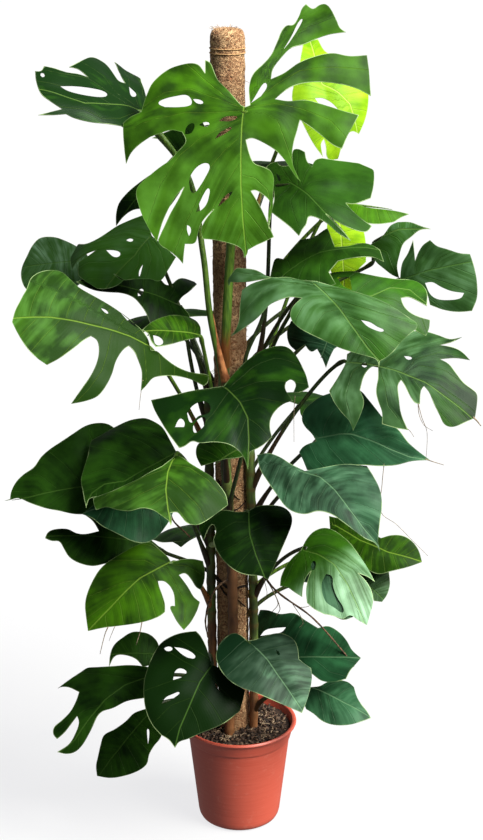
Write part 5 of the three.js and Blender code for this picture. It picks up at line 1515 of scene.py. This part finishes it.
strings = []
for thread in threads:
    pixels = readPath(thread["path"])[0]
    if "leaf" in thread:
        leaf = grown[thread["leaf"]]
        start = bentPoints(leaf, flatOf(leaf, pixels[:1]))[0]
        pixels = pixels[1:]
    else:
        rootLine = rootLines["root_right"]
        start = rootLine[round(thread["share"] * (len(rootLine) - 1))]
    line = smoothLine([start] + [spotAt(pixel, start[1]) for pixel in pixels], 5)
    radius = thread.get("radius", threadRadius)
    tube = tubeParts(line, np.linspace(radius, radius * 0.5, len(line)), 5)
    strings.append(smallPiece("thread", *tube, threadSkin))
fitted(joined(strings, "dry_threads"), None, "root")

# Dark rootlets that cross the front of the pole: bearing in degrees and height where each starts and ends
rootlets = [
    (196, 503, 340, 484),
    (200, 497, 335, 488),
    (215, 492, 320, 452),
    (205, 640, 330, 655),
    (215, 700, 300, 668),
]
rootletShape = {"radius": 1.7, "taper": 0.8, "clear": 0.6, "wave": 3, "sides": 6}
rootletSkin = fibreMaterial("dark rootlet", "3a2818", "1a100a", 5)
crossings = []
for startTurn, startZ, endTurn, endZ in rootlets:
    t = np.linspace(0, 1, 24)
    turns = np.radians(startTurn + (endTurn - startTurn) * t)
    levels = startZ + (endZ - startZ) * t + rootletShape["wave"] * np.sin(9 * t + startZ)
    outward = np.stack([np.cos(turns), np.sin(turns), 0 * t], axis=1)
    line = [poleCentre(z) for z in levels] + outward * (pole["radius"] + rootletShape["clear"])
    tube = tubeParts(line, rootletShape["radius"] - rootletShape["taper"] * t, rootletShape["sides"])
    crossings.append(smallPiece("rootlet", *tube, rootletSkin))
fitted(joined(crossings, "rootlets"), None, "root")

# A dry brown sheath beside the tall petiole, by pixel and depth in mm, and a cut petiole's pale stub
sheathPath = {(213, 314): -60, (216, 338): -64, (221, 362): -70, (226, 382): -76}
sheathShape = {"end": 0.6, "swell": 10, "power": 0.8, "flat": 0.8, "sides": 12}
sheathLine = smoothLine([spotAt(pixel, depth) for pixel, depth in sheathPath.items()], 8)
share = np.linspace(0, 1, len(sheathLine))
widths = share ** sheathShape["power"] * sheathShape["swell"] + sheathShape["end"]
sheath = newPiece("dry_sheath", *tubeParts(sheathLine, widths, sheathShape["sides"], sheathShape["flat"]))
fitted(sheath, None, "root", fibreMaterial("dry petiole sheath", "c07c48", "8c5028", 12))
stubShape = {"node": 566, "start": 6, "end": 4, "sides": 12}
stubLine = smoothLine([stemCentre("stem_left", stubShape["node"]), spotAt((216, 543), -30),
                       spotAt((221, 529), -52)], 8)
stubRadii = np.linspace(stubShape["start"], stubShape["end"], len(stubLine))
stub = newPiece("cut_petiole", *tubeParts(stubLine, stubRadii, stubShape["sides"]))
fitted(stub, None, "stem", fibreMaterial("cut petiole", "c4d49c", "98b060", 8))
print("cords, roots and dry bits")


# Pot: a thin moulded shell, turned ring by ring, with a rolled lip, a collar and drain holes
pot = {
    "lip": 110,  # radius of the lip, and so are the next two
    "top": 99,
    "base": 79,
    "height": 205,
    "wall": 2.2,
    "collar": 32,  # how far the collar reaches down
    "step": 2,  # how far it stands out from the wall below it
    "lipDepth": 5.5,
    "flare": 5,  # how far the lip stands out past the collar's top
    "edge": 16,  # size of the rounded bottom edge
    "sides": 96,
    "smooth": 40,  # degrees between faces that are still shaded as one
    "holes": 8,
    "holeRadius": 6,
    "holeRing": 52,
    "holeSides": 24,
    "drill": 12,  # length of what cuts a hole
}


# Extrudes a disc upwards ring by ring, and closes the last ring; rings are radius and height in mm
def turnedPiece(name, rings, sides):
    radius, height = rings[0]
    start = {"radius": radius * mm, "location": (0, 0, height * mm)}
    bpy.ops.mesh.primitive_circle_add(vertices=sides, fill_type="NGON", **start)
    piece = bpy.context.object
    piece.name = name
    bpy.ops.object.mode_set(mode="EDIT")
    bpy.ops.mesh.select_all(action="SELECT")
    bpy.ops.mesh.flip_normals()
    for nextRadius, nextHeight in rings[1:]:
        rise = (nextHeight - height) * mm
        bpy.ops.mesh.extrude_region_move(TRANSFORM_OT_translate={"value": (0, 0, rise)})
        grow = nextRadius / radius
        bpy.ops.transform.resize(value=(grow, grow, 1), center_override=(0, 0, nextHeight * mm))
        radius, height = nextRadius, nextHeight
    bpy.ops.mesh.select_all(action="SELECT")
    bpy.ops.mesh.normals_make_consistent(inside=False)
    bpy.ops.object.mode_set(mode="OBJECT")
    choose(piece)
    bpy.ops.object.transform_apply(location=True, rotation=True, scale=True)
    return piece


collarZ, lipZ = pot["height"] - pot["collar"], pot["height"] - pot["lipDepth"]
outer = [
    (pot["base"] - pot["edge"], 0), (pot["base"] - 8, 1), (pot["base"] - 4, 4), (pot["base"] - 1.5, 9),
    (pot["base"], pot["edge"]), (pot["top"] - pot["step"], collarZ), (pot["top"] - 0.6, collarZ + 0.4),
    (pot["top"], collarZ + 1.2), (pot["top"] + 0.4, collarZ + 3),
    (pot["lip"] - pot["flare"] - 0.4, lipZ - 3), (pot["lip"] - pot["flare"], lipZ - 1),
    (pot["lip"] - 2, lipZ - 0.4),
    (pot["lip"] - 0.6, lipZ + 0.6), (pot["lip"], lipZ + 2), (pot["lip"] - 0.5, lipZ + 3.6),
    (pot["lip"] - 2, pot["height"]), (pot["lip"] - 4.5, pot["height"] + 0.1),
    (pot["lip"] - pot["flare"] - pot["wall"], pot["height"] - 1.5),
]
inner = [
    (pot["top"] - pot["wall"], collarZ + 1), (pot["top"] - pot["step"] - pot["wall"], collarZ - 1),
    (pot["base"] - pot["wall"], pot["edge"]), (pot["base"] - pot["edge"], pot["wall"]),
]
potPiece = turnedPiece("nursery_pot", outer + inner, pot["sides"])
drills = []
for number in range(pot["holes"]):
    turn = (number + 0.5) * 2 * math.pi / pot["holes"]
    spot = (pot["holeRing"] * math.cos(turn) * mm, pot["holeRing"] * math.sin(turn) * mm, 0)
    size = {"radius": pot["holeRadius"] * mm, "depth": pot["drill"] * mm}
    bpy.ops.mesh.primitive_cylinder_add(vertices=pot["holeSides"], location=spot, **size)
    drills.append(bpy.context.object)
drill = joined(drills, "drill")
applied(potPiece, "BOOLEAN", operation="DIFFERENCE", object=drill)
bpy.data.objects.remove(drill)
choose(potPiece)
bpy.ops.object.shade_smooth_by_angle(angle=math.radians(pot["smooth"]))
fitted(potPiece, "pot", "pot", potMaterial())

# Soil: bark and peat, a little heaped round the pole
soil = {
    "radius": 97.5,
    "top": 190,  # where its face meets the pot
    "heap": 5,
    "rings": 24,
    "around": 96,
    "baseRadius": 70,
    "baseHeight": 6,
    "chips": 700,
    "chipLength": (2, 16),
    "chipWidth": (1.2, 5.5),
    "chipThickness": (1, 3),
    "chipMargin": 6,  # mm from the pot's wall that they keep
    "twigs": 60,
    "twigStep": 5,  # mm between the bends of a twig
    "twigMargin": 26,
}


# How high the soil's face is at a place
def soilHeight(x, y):
    share = math.hypot(x, y) / soil["radius"]
    rough = noise.noise(Vector((x, y, 3)) / 9) * 3 + noise.noise(Vector((x, y, 9)) / 3.5) * 1.5
    return soil["top"] + soil["heap"] * (1 - share) + rough


# A place on the soil, at random, that stays clear of the pot's wall
def soilSpot(margin):
    reach, turn = (soil["radius"] - margin) * math.sqrt(random.random()), random.uniform(0, 2 * math.pi)
    return reach * math.cos(turn), reach * math.sin(turn)


ringCount, around = soil["rings"], soil["around"]
turns = [2 * math.pi * k / around for k in range(around)]
points, faces = [(0, 0, soilHeight(0, 0))], []
for r in range(1, ringCount + 1):
    for turn in turns:
        x, y = (soil["radius"] * r / ringCount * f(turn) for f in (math.cos, math.sin))
        points.append((x, y, soilHeight(x, y)))
for turn in turns:
    points.append((*(soil["baseRadius"] * f(turn) for f in (math.cos, math.sin)), soil["baseHeight"]))
following = [(k + 1) % around for k in range(around)]
faces += [(0, 1 + k, 1 + following[k]) for k in range(around)]
for r in range(ringCount):
    a, b = 1 + r * around, 1 + (r + 1) * around
    faces += [(a + k, b + k, b + following[k], a + following[k]) for k in range(around)]
faces.append([1 + ringCount * around + k for k in range(around)][::-1])
ground = smallPiece("potting_soil", points, faces, fibreMaterial("peat", "3a2618", "160d08", 4))

# Chips of bark and wood: blocks with three points along each long edge, no two alike
barkColours = {
    "bark chip": ("5e4432", "302014"),
    "old bark chip": ("38261a", "160d08"),
    "dry wood chip": ("7c6650", "44362a"),
}
barks = [fibreMaterial(name, *tints, 5) for name, tints in barkColours.items()]
chipFaces = [
    (0, 3, 4, 1), (1, 4, 5, 2), (6, 7, 10, 9), (7, 8, 11, 10), (0, 1, 7, 6),
    (1, 2, 8, 7), (2, 5, 11, 8), (5, 4, 10, 11), (4, 3, 9, 10), (3, 0, 6, 9),
]
chips = []
for number in range(soil["chips"]):
    x, y = soilSpot(soil["chipMargin"])
    long, wide, thick = (random.uniform(*soil["chip" + size]) for size in ("Length", "Width", "Thickness"))
    spin, tilt = random.uniform(0, math.pi), random.uniform(-0.6, 0.6)
    corners = []
    for sx, sy, sz in ((i, j, k) for k in (-1, 1) for j in (-1, 1) for i in (-1, 0, 1)):
        px = sx * long / 2 * random.uniform(0.8, 1.1)
        py = sy * wide / 2 * random.uniform(0.6, 1.1)
        pz = sz * thick / 2 + px * tilt
        east = px * math.cos(spin) - py * math.sin(spin)
        north = px * math.sin(spin) + py * math.cos(spin)
        corners.append((x + east, y + north, soilHeight(x, y) + 1.5 + pz))
    chips.append(smallPiece("chip", corners, chipFaces, barks[number % len(barks)]))

# Pale bent twigs and root ends on the soil
twigSkin = fibreMaterial("dry twig", "b8a082", "7a644c", 4)
for number in range(soil["twigs"]):
    x, y = soilSpot(soil["twigMargin"])
    way, bend = random.uniform(0, 2 * math.pi), random.uniform(-0.8, 0.8)
    line = []
    for k in range(5):
        line.append((x, y, soilHeight(x, y) + 2.5 + 1.5 * (k % 2)))
        x += soil["twigStep"] * math.cos(way + bend * k)
        y += soil["twigStep"] * math.sin(way + bend * k)
    tube = tubeParts(smoothLine(line, 3), random.uniform(0.6, 1.1), 5)
    chips.append(smallPiece("twig", *tube, twigSkin))
ground = joined([ground, *chips], "potting_soil")
fitted(ground, "soil", "soil")
print("pot and soil")

# Studio: a pale floor, a soft key light from the right, a cool panel above, and a white room
studio = {
    "floorSize": 80,  # m
    "floorDrop": 0.0005,
    "floorGlow": 0.8,  # the floor glows a little, as a product table lit from below does
    "keyTurn": 62,  # degrees to the right of the camera
    "keyHeight": 44,  # degrees above level
    "keyStrength": 8.0,
    "keyAngle": 38,  # the key's width in degrees
    "topPlace": (1.0, -0.9, 3.1),  # m
    "topSize": 1.5,
    "topPower": 40,  # W
    "topAim": (0, 0, 0.9),
    "room": 0.2,
    "backdrop": 0.85,
}
bpy.ops.mesh.primitive_plane_add(size=studio["floorSize"], location=(0, 0, -studio["floorDrop"]))
floor = bpy.context.object
floor.name = "studio_floor"
# Floor paint: matt and pale, lit from below
paint, tree, surface = newMaterial("pale floor paint", 0.9)[:3]
surface.inputs["Base Color"].default_value = linear("5a5a59")
surface.inputs["Emission Color"].default_value = linear("fdfdff")
surface.inputs["Emission Strength"].default_value = studio["floorGlow"]
floor.data.materials.append(paint)
# The floor lights nothing: the plant's light is the key's, the panel's and the room's
floor.visible_diffuse = False
floor.visible_glossy = False

sun = bpy.data.lights.new("key", "SUN")
sun.energy = studio["keyStrength"]
sun.angle = math.radians(studio["keyAngle"])
sun.color = linear("fffdf6")[:3]
key = bpy.data.objects.new("key", sun)
key.rotation_euler = (math.radians(90 - studio["keyHeight"]), 0, math.radians(studio["keyTurn"]))
bpy.context.collection.objects.link(key)
panel = bpy.data.lights.new("top", "AREA")
panel.energy = studio["topPower"]
panel.size = studio["topSize"]
panel.color = linear("e4f2ff")[:3]
top = bpy.data.objects.new("top", panel)
top.location = studio["topPlace"]
top.rotation_euler = (Vector(studio["topAim"]) - top.location).to_track_quat("-Z", "Y").to_euler()
bpy.context.collection.objects.link(top)
world = bpy.data.worlds.new("white room")
world.use_nodes = True
tree = world.node_tree
isSeen = addNode(tree, "LightPath", output="Is Camera Ray")
levels = {"Value": isSeen, "To Min": studio["room"], "To Max": studio["backdrop"]}
strength = addNode(tree, "MapRange", levels, **smooth)
tree.links.new(strength, tree.nodes["Background"].inputs["Strength"])
tree.nodes["Background"].inputs["Color"].default_value = (0.95, 0.98, 1, 1)
scene = bpy.context.scene
scene.world = world
scene.view_settings.view_transform = "Standard"

cameraData = bpy.data.cameras.new("camera")
cameraData.lens = shot["lens"]
cameraData.sensor_width = shot["sensor"]
camera = bpy.data.objects.new("camera", cameraData)
camera.location = Vector(shot["place"]) * mm
camera.rotation_euler = (math.pi / 2 - pitch, 0, 0)
bpy.context.collection.objects.link(camera)
scene.camera = camera
print("studio")
